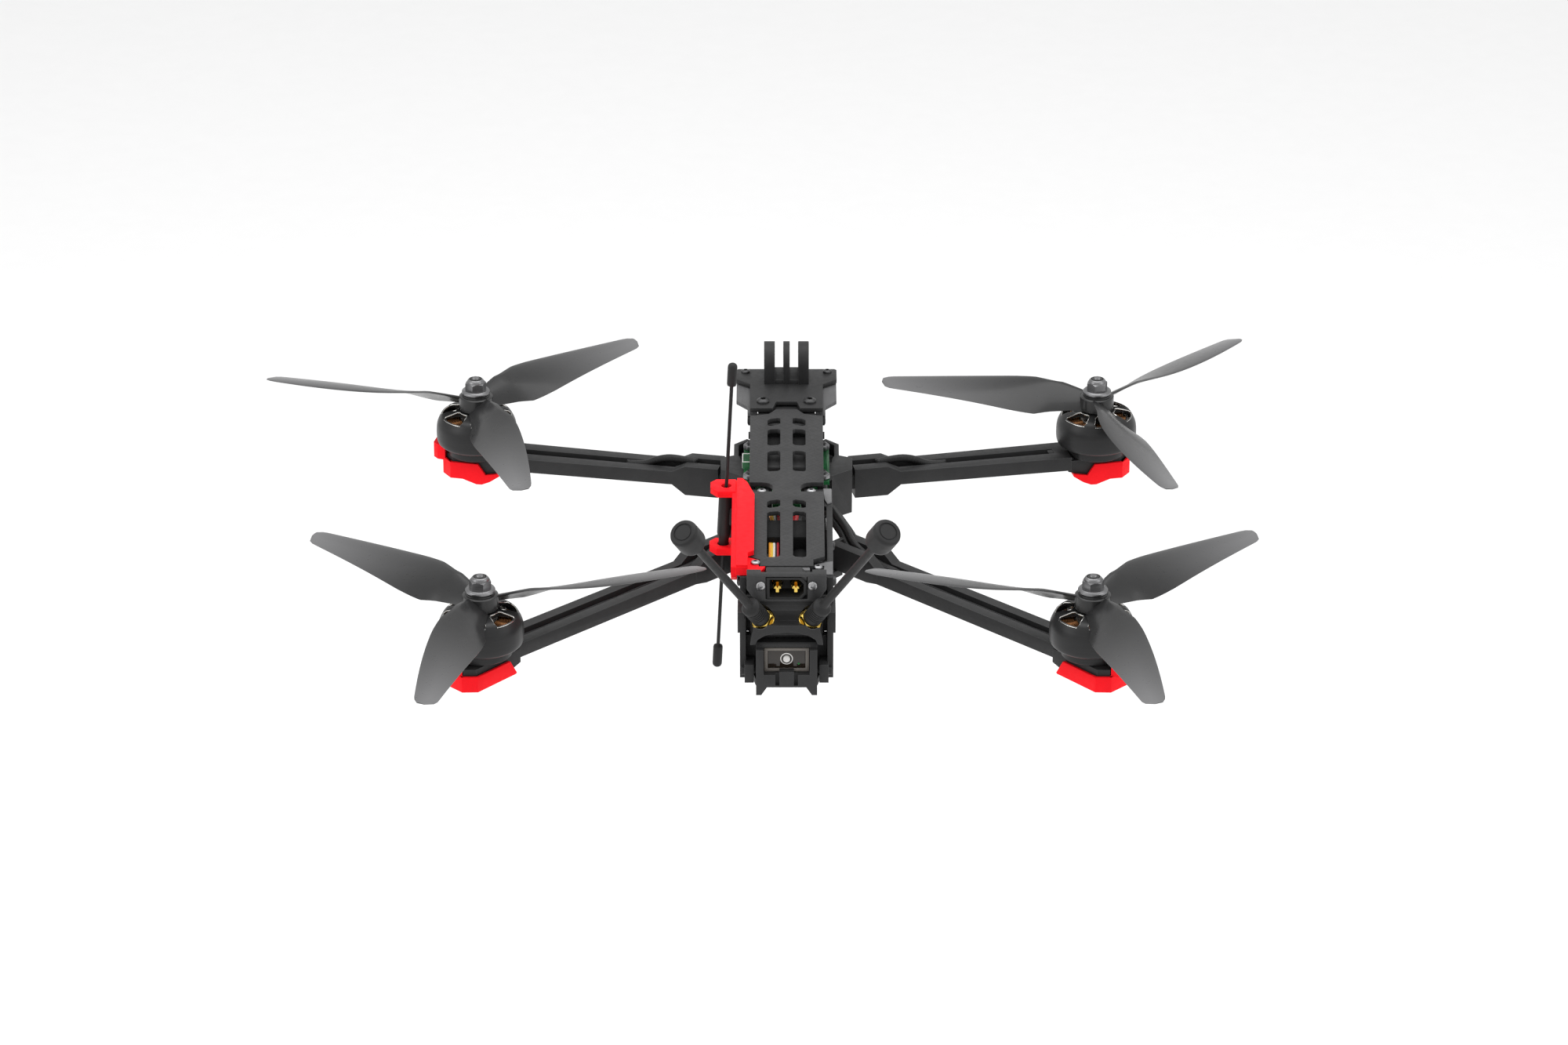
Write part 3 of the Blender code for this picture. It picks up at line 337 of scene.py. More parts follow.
def rounded(mesh, width, segments=2, angle=32.0):
    """The mesh with its flat faces merged and its sharp edges rounded."""
    shape = bmesh.new()
    shape.from_mesh(mesh)
    bmesh.ops.remove_doubles(shape, verts=shape.verts, dist=3e-6)
    bmesh.ops.dissolve_limit(shape, angle_limit=math.radians(1.0), verts=shape.verts, edges=shape.edges)
    sharp = [edge for edge in shape.edges
             if len(edge.link_faces) == 2 and edge.calc_face_angle(0.0) > math.radians(angle)]
    bmesh.ops.bevel(shape, geom=sharp, offset=width * MM, offset_type="OFFSET", segments=segments,
                    profile=0.5, affect="EDGES", clamp_overlap=True, loop_slide=True)
    return smoothed(from_bmesh(shape), 40.0)


def box(x, y, z):
    size = [high - low for low, high in (x, y, z)]
    centre = [(low + high) / 2 for low, high in (x, y, z)]
    place = Matrix.Translation(Vector(centre) * MM) @ Matrix.Diagonal((*(s * MM for s in size), 1.0))
    shape = bmesh.new()
    bmesh.ops.create_cube(shape, size=1.0, matrix=place)
    return from_bmesh(shape)


def soft_box(x, y, z, width=0.3):
    return rounded(box(x, y, z), width)


def along(start, direction):
    turn = Vector(direction).to_track_quat("Z", "Y").to_matrix().to_4x4()
    return Matrix.Translation(Vector(start) * MM) @ turn


def cylinder(radius, start, end, sides=32, end_radius=None):
    start, end = Vector(start), Vector(end)
    shape = bmesh.new()
    bmesh.ops.create_cone(shape, cap_ends=True, segments=sides, radius1=radius * MM,
                          radius2=(radius if end_radius is None else end_radius) * MM,
                          depth=(end - start).length * MM, matrix=along((start + end) / 2, end - start))
    return from_bmesh(shape)


PLANES = {
    "XY": Matrix.Identity(4),
    "XZ": Matrix(((1, 0, 0, 0), (0, 0, -1, 0), (0, 1, 0, 0), (0, 0, 0, 1))),
    "YZ": Matrix(((0, 0, 1, 0), (1, 0, 0, 0), (0, 1, 0, 0), (0, 0, 0, 1))),
}


def slab(outline, low, high, plane="XY", holes=()):
    """A flat outline with holes, given thickness across its plane from low to high."""
    curve = bpy.data.curves.new("outline", "CURVE")
    curve.dimensions = "2D"
    curve.fill_mode = "BOTH"
    curve.extrude = (high - low) / 2 * MM
    for loop in (outline, *holes):
        spline = curve.splines.new("POLY")
        spline.points.add(len(loop) - 1)
        for point, (u, v) in zip(spline.points, loop):
            point.co = (u * MM, v * MM, 0.0, 1.0)
        spline.use_cyclic_u = True
    obj = guide(curve)
    offset = (low + high) / 2 * MM * (-1 if plane == "XZ" else 1)
    obj.matrix_world = PLANES[plane] @ Matrix.Translation((0, 0, offset))
    return baked(obj)


def turned(profile, sides=64):
    """A profile of (radius, height) turned about Z, listed from the top down its outer side."""
    mesh = bpy.data.meshes.new("profile")
    count = len(profile)
    closed = profile[0][0] > 0
    edges = [(i, (i + 1) % count) for i in range(count if closed else count - 1)]
    mesh.from_pydata([(r * MM, 0, z * MM) for r, z in profile], edges, [])
    obj = guide(mesh)
    screw = obj.modifiers.new("turn", "SCREW")
    screw.steps = sides
    screw.render_steps = sides
    screw.use_merge_vertices = True
    screw.merge_threshold = 1e-6
    return baked(obj)


def through(points, steps=5):
    """A smooth line through points (Catmull-Rom), with this many steps between neighbours."""
    points = [Vector(point) for point in points]
    ends = [2 * points[0] - points[1]] + points + [2 * points[-1] - points[-2]]
    line = []
    for before, start, end, after in zip(ends, ends[1:], ends[2:], ends[3:]):
        for k in range(steps):
            t = k / steps
            line.append(0.5 * (2 * start + (end - before) * t
                               + (2 * before - 5 * start + 4 * end - after) * t ** 2
                               + (3 * start - before - 3 * end + after) * t ** 3))
    return line + [points[-1]]


def rod(points, radius, resolution=2, cyclic=False):
    """A round wire along a line of points."""
    curve = bpy.data.curves.new("wire", "CURVE")
    curve.dimensions = "3D"
    curve.bevel_depth = radius * MM
    curve.bevel_resolution = resolution
    curve.use_fill_caps = not cyclic
    spline = curve.splines.new("POLY")
    spline.points.add(len(points) - 1)
    for point, place in zip(spline.points, points):
        point.co = (*(Vector(place) * MM), 1.0)
    spline.use_cyclic_u = cyclic
    mesh = baked(guide(curve))
    mesh.shade_smooth()
    return mesh


def polar(radius, degrees, centre=(0, 0)):
    turn = math.radians(degrees)
    return (centre[0] + radius * math.cos(turn), centre[1] + radius * math.sin(turn))


def arc(radius, start, end, steps, centre=(0, 0)):
    return [polar(radius, start + (end - start) * i / steps, centre) for i in range(steps + 1)]


def spin(turn):
    return Matrix.Rotation(turn, 4, "Z")


def around(mesh, count):
    """Copies of a mesh, evenly spaced about Z."""
    return [moved(mesh, spin(math.tau * k / count)) for k in range(count)]


def at(x, y, z=0.0):
    return Matrix.Translation(Vector((x, y, z)) * MM)


def show(name, mesh, look, body="root", place=None, stands_for=()):
    """A visible piece that rides on a body; it may stand for CAD nodes."""
    mesh = moved(mesh, Matrix.Identity(4) if place is None else place)
    obj = bpy.data.objects.new(name, mesh)
    bpy.context.scene.collection.objects.link(obj)
    mesh.materials.clear()
    mesh.materials.append(LOOKS[look])
    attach(obj, body)
    if stands_for:
        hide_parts(*stands_for)
    return obj


def refine(node, look, width=0.25, segments=2):
    """The CAD node's own surface with rounded edges, in its finish."""
    source = frame["nodes"][node]
    return show(node + "_surface", rounded(source.data, width, segments), look, source["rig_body"],
                stands_for=(node,))


# ---- fasteners

def screw_mesh(head, height, socket, depth):
    """A button-head screw with a hex socket, its seat at z 0."""
    dome = turned([(0.0, height)] + [(head * math.sin(t), height * (0.45 + 0.55 * math.cos(t)))
                                     for t in (math.radians(a) for a in range(15, 91, 15))]
                  + [(head, 0.0), (0.0, 0.0)], 32)
    hexagon = cylinder(socket, (0, 0, height - depth), (0, 0, height + 2), 6)
    return smoothed(cut(dome, hexagon), 40)


SCREW_LARGE = screw_mesh(2.7, 1.9, 1.25, 1.3)
SCREW_SMALL = screw_mesh(1.9, 1.3, 0.85, 0.9)
SCREW_TINY = screw_mesh(1.25, 0.9, 0.55, 0.6)


def screws(name, mesh, places, look="dark_steel"):
    """Identical screws; each place is (x, y, z) with an optional direction of its head."""
    for index, place in enumerate(places, 1):
        direction = place[3] if len(place) > 3 else (0, 0, 1)
        show(f"{name}_{index}", mesh, look, "root", along(place[:3], direction))


# ---- arms and feet

def arm_place(corner):
    """The frame of one arm: origin on the motor axis at height 0, +X outwards along the arm."""
    x, y, _z = JOINTS["spin_" + corner]["pos_m"]
    angle = ARM_ANGLE[corner.split("_")[0]]
    if corner.endswith("left"):
        angle = 180.0 - angle
    return Matrix.Translation((x, y, 0)) @ spin(math.radians(angle))


def add_arm_fittings():
    """Motor leads in the channels, the sleeve that crosses each front root, and the root screws."""
    floor = 7.2
    for corner in CORNERS:
        place = arm_place(corner)
        front = corner.startswith("front")
        side = 1 if corner.endswith("right") else -1
        start, end = (-84.0, -17.0) if front else (-118.0, -17.0)
        leads = []
        for offset in (-1.35, 0.0, 1.35):
            wave = [(start + (end - start) * k / 12, offset + 0.12 * math.sin(k * 1.7 + offset),
                     floor + 0.75 + 0.1 * math.sin(k * 2.3)) for k in range(13)]
            leads.append(rod(through(wave, 3), 0.62))
        show("motor_leads_" + corner, grouped(*leads), "wire_black", place=place)
        show("lead_clip_" + corner, soft_box((-21.5, -17.5), (-2.2, 2.2), (floor + 0.1, 10.2), 0.4),
             "chip", place=place)
        if front:
            hump = through([(-98.0, 0, 12.2), (-92.5, 0, 13.0), (-86.0, 0, 13.3), (-80.5, 0, 12.0),
                            (-76.0, 0, 9.9), (-72.0, 0, 9.2), (-67.0, 0, 9.0)], 4)
            show("lead_sleeve_" + corner, rod(hump, 1.7, 3), "sleeve", place=place)
        else:
            for index, (out, up) in enumerate(((0.0, 0.0), (-2.2, 2.3), (-4.4, 0.4)), 1):
                line = [(46.5 + out * 0.4, -25.6, 9.2), (38.8 + out * 0.6, -17.4, 9.6 + up * 0.3),
                        (31.0 + out, -8.0, 11.4 + up), (27.4 + out, 3.0, 13.6 + up),
                        (24.0 + out, 14.0, 14.0 + up), (20.0 + out, 26.0, 14.5 + up),
                        (16.0 + out, 33.4, 15.0 + up)]
                line = through([(side * u, v, w) for u, v, w in line], 5)
                show(f"lead_bundle_{corner}_{index}", rod(line, 1.5, 3), "sleeve")
        if front:
            boss = Vector((25.8 * side, 75.8))
            show("root_boss_" + corner, rounded(cylinder(2.4, (*boss, 2.0), (*boss, 13.6), 32), 0.4),
                 "moulding")
            screws("root_screw_" + corner, SCREW_TINY, [(*boss, 13.6)])
        pad_top = span("stator_" + corner)[0].z - GAP
        for index, v in enumerate((5.2, -5.2), 1):
            show(f"pad_screw_{corner}_{index}", SCREW_TINY, "dark_steel", place=place @ at(-12.2, v, pad_top))


# ---- motors

ANTICLOCKWISE = ("front_left", "rear_right")
BELL_WINDOWS = 6
COIL_COUNT = 12
MAGNET_COUNT = 14
HUB_RADIUS, HUB_HALF = 7.3, 3.2
BOSS_RADIUS, BOSS_HEIGHT = 6.0, 1.1
BLADE_TIP, BLADE_REACH = 95.25, 4.96
GAP = 0.3


def dome_height(radius, seat):
    """Height of the bell's outer surface at a radius."""
    for (inner, high), (outer, low) in (((0.0, seat), (7.0, seat)), ((7.0, seat), (12.4, seat - 0.6)),
                                        ((12.4, seat - 0.6), (15.6, 25.8)), ((15.6, 25.8), (17.35, 20.0))):
        if radius <= outer:
            return high + (low - high) * (radius - inner) / (outer - inner)
    return 20.0


def bell_meshes(seat, top):
    """The turned can with its six windows, and the bright cut edges around them."""
    outer = through([(7.0, seat - 0.1, 0), (12.4, seat - 0.6, 0), (14.6, seat - 1.5, 0), (15.8, 25.4, 0),
                     (17.0, 22.6, 0), (17.35, 19.5, 0), (17.3, 16.2, 0), (16.9, 14.3, 0), (16.2, 13.5, 0)], 4)
    inner = [(15.2, 13.5), (15.9, 16.2), (15.9, 22.5), (15.0, 24.6), (13.0, 26.2), (5.0, 26.6),
             (2.2, 25.6), (2.2, 11.0), (0.0, 11.0)]
    shell = turned([(0.0, top - 0.5), (2.2, top - 0.5), (2.5, top - 0.9), (2.5, seat)]
                   + [(point.x, point.y) for point in outer] + inner, 96)
    windows, rims = [], []
    for index in range(BELL_WINDOWS):
        centre = 360.0 / BELL_WINDOWS * index
        sector = (arc(7.8, centre - 18, centre + 18, 8)
                  + [polar(9.0, centre + 21.5), polar(14.0, centre + 23)]
                  + arc(15.0, centre + 20, centre - 20, 10)
                  + [polar(14.0, centre - 23), polar(9.0, centre - 21.5)])
        windows.append(slab(sector, 23.6, 30.0))
        loop = [(u, v, dome_height(math.hypot(u, v), seat) - 0.12) for u, v in sector]
        rims.append(rod(loop, 0.40, 1, cyclic=True))
    return smoothed(cut(shell, *windows), 30), smoothed(grouped(*rims), 60)


def coil_mesh():
    """The wound teeth on the core."""
    turns, corners = 8, ((-1.7, 14.6), (-1.4, 24.1), (0.0, 24.8), (1.4, 24.1), (1.7, 14.6), (0.0, 14.0))
    line = []
    for k in range(turns * len(corners)):
        across, height = corners[k % len(corners)]
        radius = 7.4 + 5.4 * k / (turns * len(corners))
        line.append((radius, across * (0.75 + radius / 30), height))
    return grouped(*around(rod(line, 0.36, 1), COIL_COUNT))


def core_mesh():
    hub = turned([(6.8, 24.3), (6.8, 14.4), (4.7, 14.4), (4.7, 24.3)], 32)
    stem = box((6.6, 13.3), (-0.85, 0.85), (15.0, 23.6))
    shoe = slab(arc(13.9, -12.5, 12.5, 6) + arc(13.2, 12.5, -12.5, 6), 14.8, 24.0)
    return grouped(hub, *around(grouped(stem, shoe), COIL_COUNT))


def base_mesh(low):
    """The fixed base under the can."""
    return smoothed(turned([(4.6, 25.2), (4.6, 14.0), (7.0, 13.6), (7.0, 12.9), (12.3, 12.1), (12.5, 11.8),
                            (12.5, low + 0.3), (12.2, low), (2.6, low), (2.6, 25.2)], 64))


def nut_meshes(low):
    """A flanged lock nut: its flange and hexagon, and the domed collar over the thread."""
    flange = turned([(5.9, low + 0.9), (6.1, low + 0.6), (6.1, low), (2.8, low), (2.8, low + 1.4),
                     (5.2, low + 1.4)], 64)
    hexagon = cylinder(4.6, (0, 0, low + 0.7), (0, 0, low + 4.8), 6)
    chamfer = turned([(3.9, low + 4.9), (4.9, low + 4.0), (4.9, low + 0.2), (2.0, low + 0.2),
                      (2.0, low + 4.9)], 48)
    hexagon = combined("INTERSECT", hexagon, [chamfer])
    bore = cylinder(2.8, (0, 0, low - 1), (0, 0, low + 9), 32)
    hexagon = cut(hexagon, bore)
    collar = turned([(2.7, low + 6.2), (3.0, low + 6.1), (3.5, low + 5.6), (3.8, low + 4.8),
                     (3.8, low + 4.2), (2.6, low + 4.2)], 48)
    return smoothed(grouped(flange, hexagon, collar), 30)


def blade_mesh(tip):
    """One twisted blade along +X with a rounded tip, for turning anticlockwise."""
    start, widest, sections, points = 4.5, 0.36, 46, 9
    shape = bmesh.new()
    rings = []
    for index in range(sections):
        t = index / (sections - 1)
        t = t + 0.06 * math.sin(math.tau * t) / math.tau
        radius = start + (tip - start) * t
        if t < widest:
            chord = 8.2 + 12.6 * math.sin(math.pi * (t * 1.42 + 0.04))
        else:
            chord = 20.8 - 12.4 * ((t - widest) / (1 - widest)) ** 1.25
        lead = 0.46 * chord + 1.6 * math.sin(math.pi * t)
        ending = max(0.0, (radius - (tip - 5.0)) / 5.0)
        full = chord
        chord *= 1.0 - 0.62 * (1 - math.sqrt(max(0.0, 1 - ending ** 2)))
        lead -= 0.25 * (full - chord)
        pitch = math.atan2(15.0, max(radius, 20.0))
        thick = (2.1 - 1.3 * t) * (1 - 0.4 * ending)
        upper = [(u, 0.52 * math.sqrt(u) * (1 - u) * 2.1 + 0.05) for u in
                 [(1 - math.cos(math.pi * k / points)) / 2 for k in range(points + 1)]]
        lower = [(u, -0.3 * math.sqrt(u) * (1 - u) * 1.4 - 0.05) for u, _v in reversed(upper[1:])]
        ring = []
        for share, height in upper + lower:
            across = lead - share * chord
            up = height * thick + 0.03 * chord * math.sin(math.pi * share)
            ring.append(shape.verts.new(Vector((radius, across * math.cos(pitch) - up * math.sin(pitch),
                                                across * math.sin(pitch) + up * math.cos(pitch))) * MM))
        rings.append(ring)
    for inner, outer in zip(rings, rings[1:]):
        for k in range(len(inner)):
            following = (k + 1) % len(inner)
            shape.faces.new((inner[k], inner[following], outer[following], outer[k]))
    shape.faces.new(rings[0])
    shape.faces.new(list(reversed(rings[-1])))
    bmesh.ops.recalc_face_normals(shape, faces=shape.faces)
    return from_bmesh(shape)


def propeller_mesh(tip, hub, half):
    """A hub with a raised rim and three blades, which are paler towards their tips: partly their own tone,
    partly a painted sheen on faces that look up.
    """
    raised = half + BOSS_HEIGHT
    body = turned([(BOSS_RADIUS - 0.4, raised), (BOSS_RADIUS, raised - 0.3), (BOSS_RADIUS + 0.1, half + 0.1),
                   (hub - 0.4, half), (hub, half - 0.4), (hub, 0.5 - half), (hub - 0.5, -half),
                   (2.8, -half), (2.8, raised)], 64)
    blade = blade_mesh(tip)
    bore = cylinder(hub - 0.9, (0, 0, -12), (0, 0, 12), 48)
    below = cylinder(32.0, (0, 0, -5.3), (0, 0, -half - 0.04), 96, end_radius=12.0)
    envelope = cylinder(tip + 9, (0, 0, -BLADE_REACH), (0, 0, BLADE_REACH), 24)
    blade = cut(combined("INTERSECT", blade, [envelope]), bore, below)
    mesh = smoothed(joined(body, *around(blade, 3)), 38)
    # reach weights the paleness, more towards the tips and towards one edge of each blade; on upward faces it
    # acts as a painted sheen.
    reach = mesh.attributes.new("reach", "FLOAT", "POINT")
    for vertex, value in zip(mesh.vertices, reach.data):
        share = min(1.0, max(0.0, vertex.co.xy.length / MM / tip - 0.32) / 0.68)
        third = math.tau / 3
        turn = (math.atan2(vertex.co.y, vertex.co.x) + third / 2) % third - third / 2
        across = 0.5 - 0.5 * math.tanh(turn * vertex.co.xy.length / MM / 6.0)
        value.value = share ** 1.3 * (0.45 + 0.55 * across)
    return mesh


def blade_angle(corner, axis):
    """Direction of the CAD propeller's blades, from the vertices at its tips."""
    spokes = [(v.co.xy - axis) for v in frame["nodes"]["propeller_" + corner].data.vertices]
    reach = max(spoke.length for spoke in spokes)
    tips = [spoke for spoke in spokes if spoke.length > reach - 0.5 * MM]
    total = sum(cmath.exp(3j * math.atan2(spoke.y, spoke.x)) for spoke in tips)
    return cmath.phase(total) / 3


def add_motors():
    plane = span("prop_nut_front_left")[0].z - GAP - BOSS_HEIGHT - HUB_HALF
    seat = plane - HUB_HALF - GAP
    top = span("bell_front_left")[1].z
    bell, edges = bell_meshes(seat, top)
    base = base_mesh(span("stator_front_left")[0].z)
    coils, core = coil_mesh(), core_mesh()
    nut = nut_meshes(span("prop_nut_front_left")[0].z)
    magnet = slab(arc(15.7, -10.5, 10.5, 6) + arc(14.5, 10.5, -10.5, 6), 15.2, 23.4)
    magnets = grouped(*around(magnet, MAGNET_COUNT))
    ring_board = turned([(13.0, 22.6), (13.0, 22.0), (6.9, 22.0), (6.9, 22.6)], 48)
    left_handed = propeller_mesh(BLADE_TIP, HUB_RADIUS, HUB_HALF)
    right_handed = mirrored(left_handed)
    for corner in CORNERS:
        x, y, _z = JOINTS["spin_" + corner]["pos_m"]
        angle = blade_angle(corner, Vector((x, y)))
        here = Matrix.Translation((x, y, 0))
        turn = here @ spin(angle)
        rotor = "rotor_" + corner
        show("bell_can_" + corner, bell, "bell", rotor, turn, ("bell_" + corner,))
        show("bell_edges_" + corner, edges, "cut_edge", rotor, turn)
        show("magnets_" + corner, magnets, "magnet", rotor, turn)
        show("motor_base_" + corner, base, "bell", "root", here, ("stator_" + corner,))
        show("coils_" + corner, coils, "copper", "root", here)
        show("core_" + corner, core, "lamination", "root", here)
        show("ring_board_" + corner, ring_board, "board", "root", here)
        show("lock_nut_" + corner, nut, "steel", rotor, turn, ("prop_nut_" + corner,))
        tip = cylinder(1.6, (0, 0, top - 0.6), (0, 0, top - 0.02), 24, end_radius=1.3)
        show("shaft_end_" + corner, smoothed(tip), "steel", rotor, here)
        blades, extra = (left_handed, 0.0) if corner in ANTICLOCKWISE else (right_handed, math.pi)
        show("blades_" + corner, blades, "propeller", rotor,
             at(0, 0, plane) @ here @ spin(angle + extra), ("propeller_" + corner,))


# ---- body

def add_plates():
    for look, width, nodes in (("plate", 0.3, "belly_plate"), ("plate", 0.25, "mid_plate"),
                               ("wing", 0.3, "wing_plate"), ("moulding", 0.3, "nose_brace"),
                               ("moulding", 0.35, "nose_plate_left nose_plate_right"),
                               ("moulding", 0.35, "side_panel_left side_panel_right"),
                               ("moulding", 0.5, "fairing_left fairing_right"),
                               ("moulding", 0.4, "satellite_receiver camera_body"),
                               ("tail", 0.4, "tail_housing tail_guard"), ("antenna", 0.3, "power_socket")):
        for node in nodes.split():
            refine(node, look, width)
    for node in ("flight_controller", "speed_controller", "radio_receiver"):
        refine(node, "board", 0.12, 1)
    refine("top_plate", "plate", 0.35, 3)
    refine("antenna_holder", "red", 0.5, 3)
    for corner in CORNERS:
        refine("arm_" + corner, "moulding", 0.45, 3)
        refine("foot_" + corner, "red", 0.8, 3)
        sole = MOUNTS["rest_" + corner]["pos_m"][2] / MM
        holes = [(u, v) for u in ((FOOT_HOLE,) if corner.startswith("front") else (FOOT_HOLE, -FOOT_HOLE))
                 for v in (FOOT_HOLE, -FOOT_HOLE)]
        screws("foot_screw_" + corner, SCREW_TINY,
               [(*(arm_place(corner) @ Vector((u * MM, v * MM, 0)) / MM).xy, sole, (0, 0, -1))
                for u, v in holes])


def add_nose_deck():
    """The front deck with rounded prongs, an elbow under them and its screws."""
    high = span("nose_deck")[1]
    wing_top = span("wing_plate")[1].z
    deck_low, deck_high = wing_top + 0.3, wing_top + 2.4
    prong_y, axis_z, radius = 90.5, 56.2, 7.5
    half = [(high.x, high.y - 0.9), (high.x - 0.9, high.y), (-high.x + 0.9, high.y), (-high.x, high.y - 0.9)]
    rear = [(-21.6, 88.6), (-15.6, 83.4), (-15.6, 58.0), (-5.8, 58.0), (-4.4, 65.0),
            (4.4, 65.0), (5.8, 58.0), (15.6, 58.0), (15.6, 83.4), (21.6, 88.6)]
    deck = rounded(slab(half + rear, deck_low, deck_high), 0.3)
    saddle = soft_box((-9.2, 9.2), (prong_y - 7.0, prong_y + 7.0), (46.8, 49.4), 0.5)
    prongs = []
    for left, far in ((-9.6, -5.0), (-1.4, 1.4), (5.0, 9.6)):
        outline = ([(prong_y + radius, 46.4)] + arc(radius, 0, 180, 28, (prong_y, axis_z))
                   + [(prong_y - radius, 46.4)])
        hole = arc(2.6, 0, 350, 27, (prong_y, axis_z))
        prongs.append(rounded(slab(outline, left, far, plane="YZ", holes=[hole]), 0.3))
    show("nose_deck_plate", deck, "moulding", stands_for=("nose_deck",))
    show("prong_saddle", saddle, "moulding")
    for name, prong in zip(("left", "middle", "right"), prongs):
        show("prong_" + name, prong, "moulding")
    screws("deck_screw", SCREW_LARGE,
           [(sign * 10.0, 64.0, deck_high) for sign in (-1, 1)])
    screws("ear_screw", SCREW_SMALL, [(sign * 17.6, 96.0, deck_high) for sign in (-1, 1)])


PANEL_DEPTH = 3.3


def add_painted_shade_liners():
    """Near-black sheets of painted shade inside the side panels, which close the gaps beside the plates and
    the tail, where there is only shadow.
    """
    for side, name in SIDES:
        inner = abs(span("side_panel_" + name)[0 if side < 0 else 1].x) - PANEL_DEPTH
        for index, (x, y, z) in enumerate((((inner - 0.8, inner - 0.2), (-88.0, -36.0), (13.0, 40.0)),
                                           ((16.13, 16.37), (-107.4, -99.6), (3.7, 36.0)),
                                           ((12.6, 16.2), (-98.9, -98.1), (18.0, 24.0))), 1):
            across = sorted(side * value for value in x)
            # Painted shade: dark sheets stand in for the shadow inside the body, so the floor does not show
            # through the gaps.
            show(f"painted_shade_liner_{name}_{index}", soft_box(across, y, z, 0.08), "foam_and_painted_shade")


def add_fasteners():
    for name in ("mid", "rear"):
        for side in ("left", "right"):
            post = middle(f"post_{name}_{side}")
            refine(f"post_{name}_{side}", "dark_steel", 0.2)
            top = 44.9 if (name, side) != ("rear", "left") else 47.0
            screws(f"plate_screw_{name}_{side}", SCREW_SMALL, [(post.x, post.y, top)], "bright_steel")
    for side, name in SIDES:
        out = (side, 0, 0)
        screws("side_screw_" + name, SCREW_SMALL,
               [(side * 18.9, -30.0, 24.0, out), (side * 18.9, -90.0, 36.0, out),
                (side * 15.5, 68.0, 36.8, out)])
        screws("panel_screw_" + name, SCREW_SMALL, [(side * 10.35, -112.25, 44.7, (0, -1, 0))],
               "bright_steel")
        screws("belly_screw_" + name, SCREW_LARGE,
               [(side * 11.0, y, 0.0, (0, 0, -1)) for y in (90.0, 50.0, 12.0, -20.0, -60.0, -100.0)])


# ---- nose camera

def add_camera():
    low, high = span("camera_lens")
    centre = (low + high) / 2
    axis = along((centre.x, low.y, centre.z), (0, 1, 0))
    barrel = turned([(5.9, 10.6), (7.4, 11.6), (8.0, 11.2), (8.0, 9.6), (7.7, 9.3), (8.0, 9.0), (8.0, 7.4),
                     (7.7, 7.1), (8.0, 6.8), (8.0, 5.0), (6.8, 4.4), (6.8, 0.0), (0.0, 0.0)][:-1]
                    + [(5.0, 0.0), (5.0, 9.0)], 72)
    show("lens_barrel", smoothed(barrel), "antenna", "camera", axis, ("camera_lens",))
    glass = turned([(0.0, 11.0), (2.0, 10.85), (3.6, 10.4), (4.8, 9.7), (4.9, 8.8), (0.0, 8.8)], 64)
    show("lens_glass", smoothed(glass, 50), "glass", "camera", axis)
    trim = turned([(5.0, 10.2), (5.9, 10.5), (5.9, 9.2), (5.0, 9.2)], 64)
    show("lens_trim", smoothed(trim), "steel", "camera", axis)
    body_low, body_high = span("camera_body")
    show("camera_plug", soft_box((-3.2, 3.2), (body_low.y - 1.05, body_low.y + 0.1), (27.9, 30.1), 0.2),
         "white", "camera")
    for index, x in enumerate((-6.6, 6.6), 1):
        for row, z in (("a", body_low.z + 2.9), ("b", body_high.z - 2.9)):
            show(f"camera_screw_{index}{row}", SCREW_TINY, "dark_steel", "camera",
                 along((x, body_high.y - 0.05, z), (0, 1, 0)))


# ---- tail and antennas

def thread_profile(radius, low, high, pitch=0.7):
    """Points down the outside of a threaded stem."""
    count = int((high - low) / pitch)
    profile = []
    for k in range(count):
        z = high - k * pitch
        profile += [(radius, z), (radius - 0.28, z - pitch * 0.5)]
    return profile + [(radius, low)]


def antenna_axes(node):
    """Base and tip of a video antenna: the tip is the middle of the rim that is farthest away."""
    side = 1 if middle(node).x > 0 else -1
    base = Vector((9.2 * side, -112.0, 28.7))
    corners = [vertex.co / MM for vertex in frame["nodes"][node].data.vertices]
    reach = max((corner - base).length for corner in corners)
    rim = [corner for corner in corners if (corner - base).length > reach - 0.3]
    return base, sum(rim, Vector()) / len(rim)


